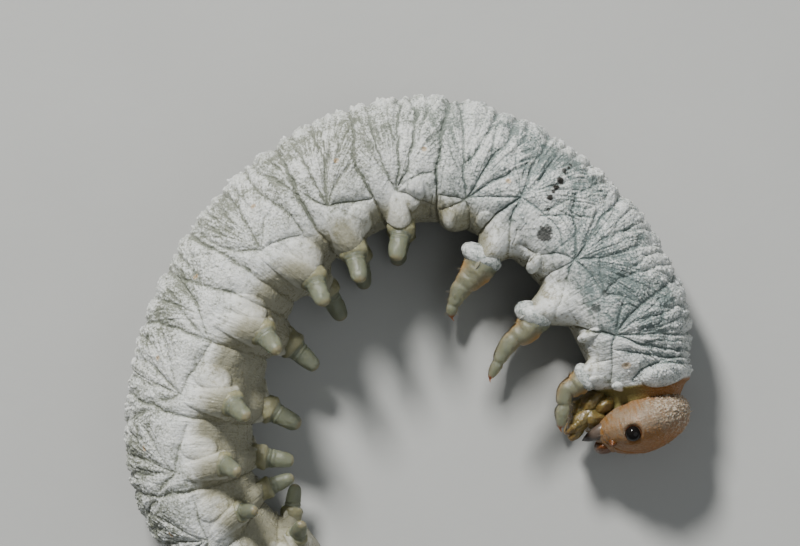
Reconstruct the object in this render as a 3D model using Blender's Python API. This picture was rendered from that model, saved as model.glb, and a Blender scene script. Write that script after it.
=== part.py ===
"""Sawfly larva at life size, lying curled on its left side.

The larva's right side faces up (+Z). Its body follows one plane curve from the neck to the tail,
and every length of body, leg and proleg is placed from that curve. Dimensions are in millimetres
and are turned into metres by MM where a mesh or a curve is made.
"""
import math

import bmesh
import bpy
import numpy as np
from mathutils import Matrix, Vector

MM = 0.001

# Clearances between neighbouring pieces
GAP = 0.30
HEAD_GAP = 0.25
EYE_GAP = 0.17
JAW_GAP = 0.15
SETTLE = 0.06
MERGE = 0.004

# The neck is where the body's curve starts. Headings are in degrees, counted from +X.
NECK = (6.490, -1.019)
NECK_HEADING = 97.4
NECK_REACH = 0.75

# One row for each segment: name, length, turn in degrees, upper, lower and side half sizes,
# and how far the segment is rolled about the body's axis
SEGMENTS = (
    ("T1", 2.14, 14.9, 1.56, 1.45, 1.60, 0.0),
    ("T2", 2.74, 21.9, 1.70, 1.66, 1.78, 0.0),
    ("T3", 1.97, 16.6, 1.68, 1.70, 1.84, 0.0),
    ("A1", 2.13, 23.0, 1.73, 1.72, 1.88, 0.0),
    ("A2", 2.19, 25.5, 1.77, 1.70, 1.90, 2.0),
    ("A3", 2.23, 21.0, 1.77, 1.74, 1.90, 3.0),
    ("A4", 2.25, 16.5, 1.76, 1.74, 1.90, 12.0),
    ("A5", 2.24, 15.5, 1.74, 1.70, 1.88, 21.0),
    ("A6", 2.25, 14.0, 1.72, 1.66, 1.84, 28.0),
    ("A7", 2.00, 26.0, 1.62, 1.56, 1.76, 32.0),
    ("A8", 1.75, 34.0, 1.44, 1.40, 1.60, 33.0),
    ("A9", 1.25, 34.0, 1.22, 1.16, 1.36, 32.0),
    ("A10", 1.15, 22.0, 1.00, 0.98, 1.10, 30.0),
)
NECK_SIZE = (1.24, 1.25, 1.30)
TAIL_SIZE = (0.80, 0.85, 0.90)
TAIL_ROUNDING = 0.75
SQUARENESS = 2.2

# Body nodes: name, first segment, last segment
BODY_NODES = (
    ("thorax_1", "T1", "T1"),
    ("thorax_2", "T2", "T2"),
    ("thorax_3", "T3", "T3"),
    ("abdomen_1_2", "A1", "A2"),
    ("abdomen_3_4", "A3", "A4"),
    ("abdomen_5_6", "A5", "A6"),
    ("abdomen_7_8", "A7", "A8"),
    ("tail_end", "A9", "A10"),
)
COLUMNS = 28
ROWS_PER_SEGMENT = 12
MEAN_SEGMENT = 2.1
ROW_MARGIN = 0.08
TAIL_ROWS = (0.07, 0.02)

# Each segment's back is folded into narrow rings, which fade down the sides and at both ends
RINGS_PER_SEGMENT = 6
RING_RELIEF = 0.12
RING_ROUNDNESS = 0.8
RING_LEVEL = 0.6
RING_FADE_START = 70.0
RING_FADE_END = 125.0
RING_NECK_FADE = 0.6
RING_TAIL_FADE = 1.5

# Shallow waists between the segments, weaker on the back than on the sides
JOINT_DEPTH = 0.10
JOINT_WIDTH = 0.20
JOINT_FADE_START = 60.0
JOINT_FADE = 60.0
JOINT_BACK = 0.15

# Swellings that carry the legs and prolegs: segment, place along it from 0 to 1, angle down
# from the back, height, half length and half width in degrees. Each is flat-topped.
SWELLING_FLATNESS = 1.4
SWELLING_STEEPNESS = 1.6
SWELLINGS = (
    ("T1", 0.24, 150.0, 0.56, 0.55, 24.0),
    ("T2", 0.40, 154.0, 0.86, 0.80, 26.0),
    ("T3", 0.76, 154.0, 0.80, 0.74, 26.0),
    ("A1", 0.66, 150.0, 0.24, 0.70, 26.0),
    ("A2", 0.66, 150.0, 0.34, 0.70, 26.0),
    ("A3", 0.64, 150.0, 0.42, 0.70, 26.0),
    ("A4", 0.44, 150.0, 0.42, 0.70, 26.0),
    ("A5", 0.54, 150.0, 0.38, 0.70, 26.0),
    ("A6", 0.62, 150.0, 0.32, 0.70, 26.0),
    ("A7", 0.60, 150.0, 0.28, 0.62, 26.0),
    ("A8", 0.60, 150.0, 0.24, 0.56, 26.0),
    ("A10", 0.45, 148.0, 0.16, 0.40, 30.0),
)

# A rounded bulb stands behind the root of each thoracic leg, given in the same way
BULBS = (
    ("T1", 0.40, 148.0, 0.18, 0.26, 11.0),
    ("T2", 0.58, 155.0, 0.50, 0.34, 12.0),
    ("T3", 0.87, 156.0, 0.46, 0.30, 12.0),
)

# Thoracic legs: number, segment, spread to the side, then the leg's route in plan, counted
# from the neck, as (x, y, half thickness)
LEGS = (
    ("1", "T1", 0.86, ((-1.68, 0.23, 0.38), (-1.95, 0.01, 0.31), (-2.17, -0.12, 0.25), (-2.23, -0.32, 0.21),
                       (-2.23, -0.51, 0.19), (-2.28, -0.73, 0.20), (-2.31, -0.95, 0.15),
                       (-2.34, -1.17, 0.08))),
    ("2", "T2", 1.00, ((-3.11, 1.77, 0.43), (-3.33, 1.50, 0.35), (-3.60, 1.33, 0.27), (-3.80, 1.11, 0.24),
                       (-3.93, 0.89, 0.21), (-4.04, 0.67, 0.17), (-4.15, 0.45, 0.14), (-4.28, 0.21, 0.07))),
    ("3", "T3", 1.00, ((-4.54, 3.34, 0.48), (-4.785, 3.01, 0.38), (-5.005, 2.76, 0.30), (-5.115, 2.60, 0.27),
                       (-5.20, 2.41, 0.21), (-5.28, 2.24, 0.18), (-5.32, 2.08, 0.15), (-5.32, 1.88, 0.07))),
)
LEG_ROOT_DEPTH = 1.0
LEG_SPREAD = (1.02, 1.04, 1.06, 1.05, 1.02, 0.99, 0.96, 0.94)
CUTTER_REACH = 2.4

# Prolegs stand on the swellings of these segments and lean back along the body
PROLEG_SEGMENTS = ("A2", "A3", "A4", "A5", "A6", "A7", "A8", "A10")
PROLEG_LEAN = 18.0
PROLEG_SCALE = {"A7": 0.90, "A8": 0.80, "A10": 0.78}
PROLEG_PROFILE = ((-0.85, 0.46), (0.20, 0.45), (0.30, 0.33), (0.62, 0.28), (0.92, 0.23), (1.07, 0.13))

# Head: centre in plan, counted from the neck, direction from crown to mouth in degrees, and
# its half sizes
HEAD_CENTRE = (-0.19, -0.92)
HEAD_HEADING = 198.8
HEAD_HEIGHT = 1.50
HEAD_HALF_WIDTH = 1.48
HEAD_CROWN = 1.43
HEAD_MOUTH = 1.30
HEAD_FRONT = 0.90
HEAD_BACK = 0.66
HEAD_SHIFT = 0.04
HEAD_TAPER = 0.16
HEAD_ROUNDNESS = 0.86
HEAD_ROWS = 14
HEAD_COLUMNS = 24

# Face pieces, placed by (along crown to mouth, towards the front, sideways)
EYE_PLACE = (0.26, 0.285)
EYE_RADIUS = 0.22
EYE_SINK = 0.09
ANTENNA_PLACE = (0.85, 0.35)
ANTENNA_RADIUS = 0.12
ANTENNA_TIP_RADIUS = 0.06
ANTENNA_LENGTH = 0.22
ANTENNA_TAPER = 0.10
ANTENNA_LEAN = (0.10, 0.06)
ANTENNA_ROOT = 0.6
LABRUM_PLACE = (1.22, 0.33)
LABRUM_SIZE = (0.28, 0.23, 0.52)
MANDIBLE_ROUTE = ((0.75, -0.05, 0.60, 0.25), (1.15, -0.03, 0.58, 0.24), (1.42, 0.01, 0.44, 0.18),
                  (1.66, 0.04, 0.22, 0.07))
MOUTH_PLACE = (1.40, -0.55)
MOUTH_SIZE = (0.74, 0.38, 0.62)
MOUTH_TILT = 24.0
MOUTH_CUT_PLACE = 0.5
PALP_ROUTE = ((1.55, -0.50, 0.36, 0.16), (1.86, -0.36, 0.48, 0.13), (2.02, -0.28, 0.48, 0.06))

COLOURS = {
    "bloom": ((0.55, 0.58, 0.56), 0.75),
    "glassy": ((0.36, 0.37, 0.24), 0.30),
    "head": ((0.46, 0.26, 0.13), 0.55),
    "eye": ((0.004, 0.004, 0.004), 0.08),
    "jaw": ((0.03, 0.015, 0.01), 0.25),
    "mouth": ((0.22, 0.13, 0.05), 0.35),
}

LENGTHS = np.array([row[1] for row in SEGMENTS])
STARTS = np.concatenate(([0.0], np.cumsum(LENGTHS)))
MIDDLES = 0.5 * (STARTS[:-1] + STARTS[1:])
TURNS = np.concatenate(([0.0], np.cumsum([row[2] for row in SEGMENTS])))
INDEX = {row[0]: number for number, row in enumerate(SEGMENTS)}
TAIL = float(STARTS[-1])


def clear_scene():
    """Remove every object that is already in the file."""
    for obj in list(bpy.data.objects):
        bpy.data.objects.remove(obj, do_unlink=True)


def new_collection(name):
    """Add a collection to the scene."""
    collection = bpy.data.collections.new(name)
    bpy.context.scene.collection.children.link(collection)
    return collection


def make_material(name):
    """Make a Principled material from the colour table."""
    colour, roughness = COLOURS[name]
    material = bpy.data.materials.new(name)
    material.use_nodes = True
    shader = material.node_tree.nodes["Principled BSDF"]
    shader.inputs["Base Color"].default_value = (*colour, 1.0)
    shader.inputs["Roughness"].default_value = roughness
    shader.inputs["Metallic"].default_value = 0.0
    return material


def through(xs, ys, x):
    """Read a smooth curve through the points (xs, ys) at x."""
    xs = np.asarray(xs, float)
    ys = np.asarray(ys, float)
    slopes = np.gradient(ys, xs)
    i = np.clip(np.searchsorted(xs, x) - 1, 0, len(xs) - 2)
    step = xs[i + 1] - xs[i]
    t = np.clip((x - xs[i]) / step, 0.0, 1.0)
    start = (2 * t ** 3 - 3 * t ** 2 + 1) * ys[i] + (t ** 3 - 2 * t ** 2 + t) * step * slopes[i]
    end = (3 * t ** 2 - 2 * t ** 3) * ys[i + 1] + (t ** 3 - t ** 2) * step * slopes[i + 1]
    return start + end


def segment_size(column, s):
    """Half size of the body at s: column 0 is towards the back, 1 the belly and 2 the side."""
    places = np.concatenate(([0.0], MIDDLES, [TAIL]))
    values = [NECK_SIZE[column]] + [row[3 + column] for row in SEGMENTS] + [TAIL_SIZE[column]]
    return through(places, values, s)


def heading(s):
    """Direction of the body's curve at s, in radians."""
    inside = np.clip(s, 0.0, TAIL)
    return np.radians(NECK_HEADING + through(STARTS, TURNS, inside))


def make_curve():
    """Add up the body's plane curve in short steps."""
    step = 0.01
    places = np.arange(-NECK_REACH - step, TAIL + step, step)
    angles = heading(places + 0.5 * step)
    x = np.concatenate(([0.0], np.cumsum(np.cos(angles) * step)))[:-1]
    y = np.concatenate(([0.0], np.cumsum(np.sin(angles) * step)))[:-1]
    x += NECK[0] - np.interp(0.0, places, x)
    y += NECK[1] - np.interp(0.0, places, y)
    return places, x, y


CURVE_S, CURVE_X, CURVE_Y = make_curve()


def axis_height(s):
    """Height of the body's axis, so that the side lies on the floor on a narrow flat."""
    return segment_size(2, s) * tail_rounding(s) - SETTLE


def tail_rounding(s):
    """Shrink the body to a rounded end over the last stretch."""
    t = np.clip((s - (TAIL - TAIL_ROUNDING)) / TAIL_ROUNDING, 0.0, 1.0)
    return np.sqrt(np.maximum(1.0 - 0.97 * t ** 2, 0.0))


def rings(s, down):
    """Relief of the folded rings at s, for an angle down from the back in degrees."""
    i = np.clip(np.searchsorted(STARTS, s, side="right") - 1, 0, len(SEGMENTS) - 1)
    u = (s - STARTS[i]) / LENGTHS[i]
    ridge = np.abs(np.sin(math.pi * RINGS_PER_SEGMENT * u)) ** RING_ROUNDNESS - RING_LEVEL
    fade = np.clip((RING_FADE_END - down) / (RING_FADE_END - RING_FADE_START), 0.0, 1.0)
    ends = np.clip((TAIL - s) / RING_TAIL_FADE, 0.0, 1.0) * np.clip(s / RING_NECK_FADE, 0.0, 1.0)
    return RING_RELIEF * ridge * fade * ends


def joints(s, down):
    """Depth of the shallow waist between two segments."""
    depth = np.zeros_like(s)
    for place in STARTS[1:-1]:
        depth += np.exp(-((s - place) / JOINT_WIDTH) ** 2)
    return JOINT_DEPTH * depth * np.clip((down - JOINT_FADE_START) / JOINT_FADE, JOINT_BACK, 1.0)


def swellings(s, down):
    """Height of the pads that carry legs and prolegs."""
    height = np.zeros_like(s)
    for name, along, angle, rise, length, width in SWELLINGS + BULBS:
        place = STARTS[INDEX[name]] + along * LENGTHS[INDEX[name]]
        distance = ((s - place) / length) ** 2 + ((down - angle) / width) ** 2
        height += rise * np.exp(-distance ** SWELLING_FLATNESS * SWELLING_STEEPNESS)
    return height


def body_radius(s, angle, folded):
    """Distance of the skin from the axis, for an anatomical angle where 0 is the back."""
    down = np.abs((np.degrees(angle) + 180.0) % 360.0 - 180.0)
    cos = np.abs(np.cos(angle))
    sin = np.abs(np.sin(angle))
    tall = np.where(down < 90.0, segment_size(0, s), segment_size(1, s))
    wide = segment_size(2, s)
    base = ((cos / tall) ** SQUARENESS + (sin / wide) ** SQUARENESS) ** (-1.0 / SQUARENESS)
    radius = base * tail_rounding(s) + swellings(s, down) - joints(s, down)
    if folded:
        radius = radius + rings(s, down)
    return radius


def body_point(s, angle, grow=0.0, folded=True):
    """Point of the skin at s and at an anatomical angle, in millimetres."""
    s, angle = np.broadcast_arrays(np.asarray(s, float), np.asarray(angle, float))
    inside = np.clip(s, 0.0, TAIL)
    radius = body_radius(inside, angle, folded) + grow
    roll = np.radians(through(MIDDLES, [row[6] for row in SEGMENTS], inside))
    turned = angle - roll
    h = heading(s)
    x = np.interp(s, CURVE_S, CURVE_X) + radius * np.cos(turned) * np.sin(h)
    y = np.interp(s, CURVE_S, CURVE_Y) - radius * np.cos(turned) * np.cos(h)
    z = axis_height(inside) + radius * np.sin(turned)
    return np.stack((x, y, z), axis=-1)


def axis_point(s):
    """Point of the body's axis at s, in millimetres."""
    x = float(np.interp(s, CURVE_S, CURVE_X))
    y = float(np.interp(s, CURVE_S, CURVE_Y))
    return Vector((x, y, float(axis_height(np.clip(s, 0.0, TAIL)))))


def add_object(name, mesh, collection, material=None):
    """Link a mesh as a named object and give it a material."""
    obj = bpy.data.objects.new(name, mesh)
    collection.objects.link(obj)
    if material:
        mesh.materials.clear()
        mesh.materials.append(material)
    return obj


def loft(name, grid, collection):
    """Close a grid of rings (rows, columns, xyz in millimetres) into one solid."""
    rows, columns, _ = grid.shape
    bm = bmesh.new()
    rings_of_verts = [[bm.verts.new(Vector(point) * MM) for point in row] for row in grid]
    for near, far in zip(rings_of_verts, rings_of_verts[1:]):
        for c in range(columns):
            d = (c + 1) % columns
            bm.faces.new((near[c], near[d], far[d], far[c]))
    for ring in (rings_of_verts[0], rings_of_verts[-1]):
        centre = bm.verts.new(sum((v.co for v in ring), Vector()) / columns)
        for c in range(columns):
            bm.faces.new((ring[c], ring[(c + 1) % columns], centre))
    bmesh.ops.recalc_face_normals(bm, faces=bm.faces)
    bmesh.ops.triangulate(bm, faces=bm.faces)
    mesh = bpy.data.meshes.new(name)
    bm.to_mesh(mesh)
    bm.free()
    return add_object(name, mesh, collection)


def body_length(name, start, end, collection, grow=0.0, folded=True, per_segment=ROWS_PER_SEGMENT):
    """Loft a length of body from start to end along its curve."""
    count = max(4, round(per_segment * (end - start) / MEAN_SEGMENT))
    stations = set(np.linspace(start, end, count + 1))
    if folded:
        stations = {start, end}
        for i in range(len(SEGMENTS)):
            for step in range(per_segment + 1):
                place = float(STARTS[i] + LENGTHS[i] * step / per_segment)
                if start + ROW_MARGIN < place < end - ROW_MARGIN:
                    stations.add(round(place, 6))
        if start < 0.0:
            stations.add(0.5 * start)
    if end >= TAIL:
        stations.update(TAIL - offset for offset in TAIL_ROWS)
    s = np.array(sorted(stations))[:, None]
    angle = np.linspace(0.0, 2.0 * math.pi, COLUMNS, endpoint=False)[None, :]
    grid = body_point(s, angle, grow, folded)
    if grow == 0.0:
        grid[..., 2] = np.maximum(grid[..., 2], 0.0)
    return loft(name, grid, collection)


def bake(obj):
    """Replace an object's mesh by its evaluated one and drop the modifiers."""
    depsgraph = bpy.context.evaluated_depsgraph_get()
    mesh = bpy.data.meshes.new_from_object(obj.evaluated_get(depsgraph))
    obj.modifiers.clear()
    obj.data = mesh


def boolean(obj, other, operation):
    """Apply one exact Boolean and delete the other object."""
    modifier = obj.modifiers.new(operation.lower(), "BOOLEAN")
    modifier.operation = operation
    modifier.object = other
    modifier.solver = "EXACT"
    bpy.context.view_layer.update()
    bake(obj)
    bpy.data.objects.remove(other, do_unlink=True)


def keep_largest(obj):
    """Keep the largest closed surface and merge slivers."""
    bm = bmesh.new()
    bm.from_mesh(obj.data)
    bmesh.ops.remove_doubles(bm, verts=bm.verts, dist=MERGE * MM)
    todo = set(bm.verts)
    groups = []
    while todo:
        group = set()
        stack = [todo.pop()]
        while stack:
            vert = stack.pop()
            group.add(vert)
            for edge in vert.link_edges:
                other = edge.other_vert(vert)
                if other in todo:
                    todo.remove(other)
                    stack.append(other)
        groups.append(group)
    groups.sort(key=len)
    for group in groups[:-1]:
        bmesh.ops.delete(bm, geom=list(group), context="VERTS")
    bmesh.ops.triangulate(bm, faces=bm.faces)
    bmesh.ops.recalc_face_normals(bm, faces=bm.faces)
    bm.to_mesh(obj.data)
    bm.free()


def finish(obj, material, origin):
    """Give a piece its material, its own origin in millimetres and smooth shading."""
    place = Vector(origin) * MM
    obj.data.transform(Matrix.Translation(-place))
    obj.location = place
    obj.data.materials.clear()
    obj.data.materials.append(material)
    obj.data.shade_smooth()
    obj.data.set_sharp_from_angle(angle=math.radians(40.0))


def tube(name, route, collection):
    """Make a tapered limb from (point, half thickness) pairs, as a closed mesh."""
    curve = bpy.data.curves.new(name, "CURVE")
    curve.dimensions = "3D"
    curve.bevel_depth = MM
    curve.bevel_resolution = 3
    curve.use_fill_caps = True
    spline = curve.splines.new("POLY")
    spline.points.add(len(route) - 1)
    for point, (place, half) in zip(spline.points, route):
        point.co = (*(Vector(place) * MM), 1.0)
        point.radius = half
    limb = bpy.data.objects.new(name + "_curve", curve)
    collection.objects.link(limb)
    bpy.context.view_layer.update()
    depsgraph = bpy.context.evaluated_depsgraph_get()
    mesh = bpy.data.meshes.new_from_object(limb.evaluated_get(depsgraph))
    bm = bmesh.new()
    bm.from_mesh(mesh)
    bmesh.ops.remove_doubles(bm, verts=bm.verts, dist=0.001 * MM)
    bmesh.ops.recalc_face_normals(bm, faces=bm.faces)
    bm.to_mesh(mesh)
    bm.free()
    bpy.data.objects.remove(limb, do_unlink=True)
    return add_object(name, mesh, collection)


def ellipsoid(name, centre, matrix, size, collection):
    """Make a closed ellipsoid whose axes are the columns of a rotation matrix."""
    bpy.ops.mesh.primitive_uv_sphere_add(segments=16, ring_count=10, radius=MM)
    obj = bpy.context.active_object
    obj.name = name
    for old in obj.users_collection:
        old.objects.unlink(obj)
    collection.objects.link(obj)
    turn = matrix.to_4x4() @ Matrix.Diagonal((*size, 1.0))
    obj.data.transform(Matrix.Translation(Vector(centre) * MM) @ turn)
    return obj


def head_axes():
    """Directions of the head: crown to mouth, front, and sideways (up)."""
    angle = math.radians(HEAD_HEADING)
    along = Vector((math.cos(angle), math.sin(angle), 0.0))
    front = Vector((-math.sin(angle), math.cos(angle), 0.0))
    return along, front, Vector((0.0, 0.0, 1.0))


def head_point(along, front, side):
    """Turn head coordinates into a point of the model, in millimetres."""
    a, f, up = head_axes()
    centre = Vector((NECK[0] + HEAD_CENTRE[0], NECK[1] + HEAD_CENTRE[1], HEAD_HEIGHT))
    return centre + a * along + f * front + up * side


def head_capsule(name, collection, grow=0.0):
    """Loft the rounded head capsule from crown to mouth."""
    grid = []
    for row in range(1, HEAD_ROWS):
        t = math.pi * row / HEAD_ROWS
        reach = HEAD_MOUTH if math.cos(t) < 0.0 else HEAD_CROWN
        along = -math.cos(t) * (reach + grow)
        taper = 1.0 - HEAD_TAPER * max(0.0, -math.cos(t))
        bulge = math.sin(t) ** HEAD_ROUNDNESS
        line = []
        for column in range(HEAD_COLUMNS):
            c = 2.0 * math.pi * column / HEAD_COLUMNS
            deep = HEAD_FRONT if math.cos(c) > 0.0 else HEAD_BACK
            front = (deep + grow) * bulge * taper * math.cos(c) + HEAD_SHIFT
            side = (HEAD_HALF_WIDTH + grow) * bulge * taper * math.sin(c)
            point = head_point(along, front, side)
            if grow == 0.0:
                point.z = max(point.z, 0.0)
            line.append(tuple(point))
        grid.append(line)
    return loft(name, np.array(grid), collection)


def head_side(along, front):
    """Half width of the head capsule over a place of its side."""
    cos_t = -along / (HEAD_MOUTH if along > 0.0 else HEAD_CROWN)
    bulge = (1.0 - cos_t ** 2) ** (0.5 * HEAD_ROUNDNESS)
    taper = 1.0 - HEAD_TAPER * max(0.0, -cos_t)
    deep = HEAD_FRONT if front > HEAD_SHIFT else HEAD_BACK
    across = (front - HEAD_SHIFT) / (deep * bulge * taper)
    return HEAD_HALF_WIDTH * bulge * taper * math.sqrt(max(0.0, 1.0 - across ** 2))


def make_head(parts, cutters, materials):
    """Build the head, its eyes, mandibles and mouthparts."""
    along, front, up = head_axes()
    turn = Matrix((along, front, up)).transposed()
    head = head_capsule("head", parts)
    labrum = ellipsoid("labrum", head_point(*LABRUM_PLACE, 0.0), turn, LABRUM_SIZE, cutters)
    boolean(head, labrum, "UNION")
    for name, sign in (("right", 1.0), ("left", -1.0)):
        side = sign * head_side(*ANTENNA_PLACE)
        root = head_point(*ANTENNA_PLACE, ANTENNA_ROOT * side)
        aim = head_point(ANTENNA_PLACE[0] + ANTENNA_LEAN[0], ANTENNA_PLACE[1] + ANTENNA_LEAN[1], side)
        out = (aim - root).normalized()
        tip = head_point(*ANTENNA_PLACE, side) + out * ANTENNA_LENGTH
        shoulder = tip - out * ANTENNA_TAPER
        route = ((root, ANTENNA_RADIUS), (shoulder, ANTENNA_RADIUS), (tip, ANTENNA_TIP_RADIUS))
        antenna = tube("antenna", route, cutters)
        boolean(head, antenna, "UNION")
        side = sign * (head_side(*EYE_PLACE) - EYE_SINK)
        centre = head_point(*EYE_PLACE, side)
        socket_size = (EYE_RADIUS + EYE_GAP,) * 3
        socket = ellipsoid("socket", centre, turn, socket_size, cutters)
        boolean(head, socket, "DIFFERENCE")
        eye = ellipsoid("eye_" + name, centre, turn, (EYE_RADIUS,) * 3, parts)
        finish(eye, materials["eye"], centre)
    keep_largest(head)
    finish(head, materials["head"], head_point(0.0, 0.0, 0.0))

    for name, sign in (("right", 1.0), ("left", -1.0)):
        route = [(head_point(a, f, sign * z), r) for a, f, z, r in MANDIBLE_ROUTE]
        mandible = tube("mandible_" + name, route, parts)
        boolean(mandible, head_capsule("cutter", cutters, grow=JAW_GAP), "DIFFERENCE")
        keep_largest(mandible)
        finish(mandible, materials["jaw"], route[2][0])
    tilt = Matrix.Rotation(math.radians(MOUTH_TILT), 3, "Z")
    mouth = ellipsoid("mouthparts", head_point(*MOUTH_PLACE, 0.0), tilt @ turn, MOUTH_SIZE, parts)
    for sign in (1.0, -1.0):
        route = [(head_point(a, f, sign * z), r) for a, f, z, r in PALP_ROUTE]
        boolean(mouth, tube("palp", route, cutters), "UNION")
    boolean(mouth, head_capsule("cutter", cutters, grow=HEAD_GAP), "DIFFERENCE")
    boolean(mouth, limb_cutter(MOUTH_CUT_PLACE, cutters), "DIFFERENCE")
    keep_largest(mouth)
    finish(mouth, materials["mouth"], head_point(*MOUTH_PLACE, 0.0))


def make_body(parts, cutters, materials):
    """Build the lengths of the body, each ending half a gap short of its neighbour."""
    for name, first, last in BODY_NODES:
        start = STARTS[INDEX[first]] + 0.5 * GAP
        end = STARTS[INDEX[last] + 1] - 0.5 * GAP
        if first == "T1":
            start = -NECK_REACH
        if last == "A10":
            end = TAIL
        length = body_length(name, start, end, parts)
        if first == "T1":
            boolean(length, head_capsule("cutter", cutters, grow=HEAD_GAP), "DIFFERENCE")
            keep_largest(length)
        finish(length, materials["bloom"], axis_point(0.5 * (start + end)))


def limb_cutter(place, cutters):
    """The body near a limb, grown by the gap, to cut the limb's root face to face."""
    start = max(place - CUTTER_REACH, -NECK_REACH)
    end = min(place + CUTTER_REACH, TAIL)
    return body_length("cutter", start, end, cutters, grow=HEAD_GAP, folded=False)


def make_legs(parts, cutters, materials):
    """Build the three pairs of jointed legs."""
    for number, segment, wide, plan in LEGS:
        row = next(row for row in SWELLINGS if row[0] == segment)
        place = STARTS[INDEX[segment]] + row[1] * LENGTHS[INDEX[segment]]
        middle = axis_point(place)
        for name, sign in (("right", 1.0), ("left", -1.0)):
            route = []
            for (x, y, half), spread in zip(plan, LEG_SPREAD):
                height = middle.z + sign * wide * spread
                route.append((Vector((NECK[0] + x, NECK[1] + y, height)), half))
            first = route[0][0]
            inward = (Vector((middle.x, middle.y, first.z)) - first).normalized()
            route.insert(0, (first + inward * LEG_ROOT_DEPTH, plan[0][2]))
            leg = tube("leg_%s_%s" % (name, number), route, parts)
            boolean(leg, limb_cutter(place, cutters), "DIFFERENCE")
            keep_largest(leg)
            finish(leg, materials["glassy"], first)


def make_prolegs(parts, cutters, materials):
    """Build the eight pairs of fleshy prolegs."""
    for segment in PROLEG_SEGMENTS:
        row = next(row for row in SWELLINGS if row[0] == segment)
        place = STARTS[INDEX[segment]] + row[1] * LENGTHS[INDEX[segment]]
        scale = PROLEG_SCALE.get(segment, 1.0)
        for name, sign in (("right", 1.0), ("left", -1.0)):
            angle = sign * math.radians(row[2])
            skin = Vector(body_point(place, angle, folded=False))
            centre = axis_point(place)
            out = (skin - centre).normalized()
            h = float(heading(place))
            back = Vector((math.cos(h), math.sin(h), 0.0))
            lean = math.radians(PROLEG_LEAN)
            direction = (out * math.cos(lean) + back * math.sin(lean)).normalized()
            route = [(skin + direction * (reach * scale), half * scale) for reach, half in PROLEG_PROFILE]
            proleg = tube("proleg_%s_%s" % (name, segment[1:]), route, parts)
            boolean(proleg, limb_cutter(place, cutters), "DIFFERENCE")
            keep_largest(proleg)
            finish(proleg, materials["glassy"], skin)


def main():
    clear_scene()
    parts = new_collection("sawfly_larva")
    cutters = new_collection("cutters")
    materials = {name: make_material(name) for name in COLOURS}
    make_body(parts, cutters, materials)
    make_head(parts, cutters, materials)
    make_legs(parts, cutters, materials)
    make_prolegs(parts, cutters, materials)


main()
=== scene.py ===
"""Looks of the sawfly larva: waxy folded skin, glassy legs and prolegs, satin head, black eyes.

Lengths are in millimetres in the tables and functions, and become metres by MM in the meshes.
"""
import math

import bmesh
import bpy
import numpy as np
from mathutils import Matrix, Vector


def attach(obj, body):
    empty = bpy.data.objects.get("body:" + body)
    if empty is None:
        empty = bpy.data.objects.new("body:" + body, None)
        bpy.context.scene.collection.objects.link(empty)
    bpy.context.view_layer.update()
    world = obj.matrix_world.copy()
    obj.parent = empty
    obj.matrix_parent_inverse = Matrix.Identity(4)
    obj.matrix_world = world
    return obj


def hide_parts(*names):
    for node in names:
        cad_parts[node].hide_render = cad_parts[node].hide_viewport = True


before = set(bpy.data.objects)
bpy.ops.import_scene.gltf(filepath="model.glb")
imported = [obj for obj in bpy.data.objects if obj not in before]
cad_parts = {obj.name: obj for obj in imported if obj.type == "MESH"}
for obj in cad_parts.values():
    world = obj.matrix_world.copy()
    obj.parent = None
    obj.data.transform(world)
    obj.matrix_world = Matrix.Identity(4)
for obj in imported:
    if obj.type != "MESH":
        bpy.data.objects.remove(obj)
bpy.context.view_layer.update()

MM = 0.001

# Body curve and sizes, the same as the solids': where the neck is and which way it points, then each
# segment's length, turn, half size towards the back, the belly and the side, and roll
NECK = (6.490, -1.019)
NECK_HEADING = 97.4
SEGMENTS = (
    ("T1", 2.14, 14.9, 1.56, 1.45, 1.60, 0.0),
    ("T2", 2.74, 21.9, 1.70, 1.66, 1.78, 0.0),
    ("T3", 1.97, 16.6, 1.68, 1.70, 1.84, 0.0),
    ("A1", 2.13, 23.0, 1.73, 1.72, 1.88, 0.0),
    ("A2", 2.19, 25.5, 1.77, 1.70, 1.90, 2.0),
    ("A3", 2.23, 21.0, 1.77, 1.74, 1.90, 3.0),
    ("A4", 2.25, 16.5, 1.76, 1.74, 1.90, 12.0),
    ("A5", 2.24, 15.5, 1.74, 1.70, 1.88, 21.0),
    ("A6", 2.25, 14.0, 1.72, 1.66, 1.84, 28.0),
    ("A7", 2.00, 26.0, 1.62, 1.56, 1.76, 32.0),
    ("A8", 1.75, 34.0, 1.44, 1.40, 1.60, 33.0),
    ("A9", 1.25, 34.0, 1.22, 1.16, 1.36, 32.0),
    ("A10", 1.15, 22.0, 1.00, 0.98, 1.10, 30.0),
)
NECK_SIZE = (1.24, 1.25, 1.30)
TAIL_SIZE = (0.80, 0.85, 0.90)
TAIL_ROUNDING = 0.75
SQUARENESS = 2.2
SETTLE = 0.06
# Swellings of the lower side, which carry the legs and prolegs: segment, share along it, degrees
# down, rise, half length and half width in degrees. The bulbs add to them around the legs
SWELLINGS = (
    ("T1", 0.24, 150.0, 0.56, 0.55, 24.0),
    ("T2", 0.40, 154.0, 0.86, 0.80, 26.0),
    ("T3", 0.76, 154.0, 0.80, 0.74, 26.0),
    ("A1", 0.66, 150.0, 0.24, 0.70, 26.0),
    ("A2", 0.66, 150.0, 0.34, 0.70, 26.0),
    ("A3", 0.64, 150.0, 0.42, 0.70, 26.0),
    ("A4", 0.44, 150.0, 0.42, 0.70, 26.0),
    ("A5", 0.54, 150.0, 0.38, 0.70, 26.0),
    ("A6", 0.62, 150.0, 0.32, 0.70, 26.0),
    ("A7", 0.60, 150.0, 0.28, 0.62, 26.0),
    ("A8", 0.60, 150.0, 0.24, 0.56, 26.0),
    ("A10", 0.45, 148.0, 0.16, 0.40, 30.0),
)
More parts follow.
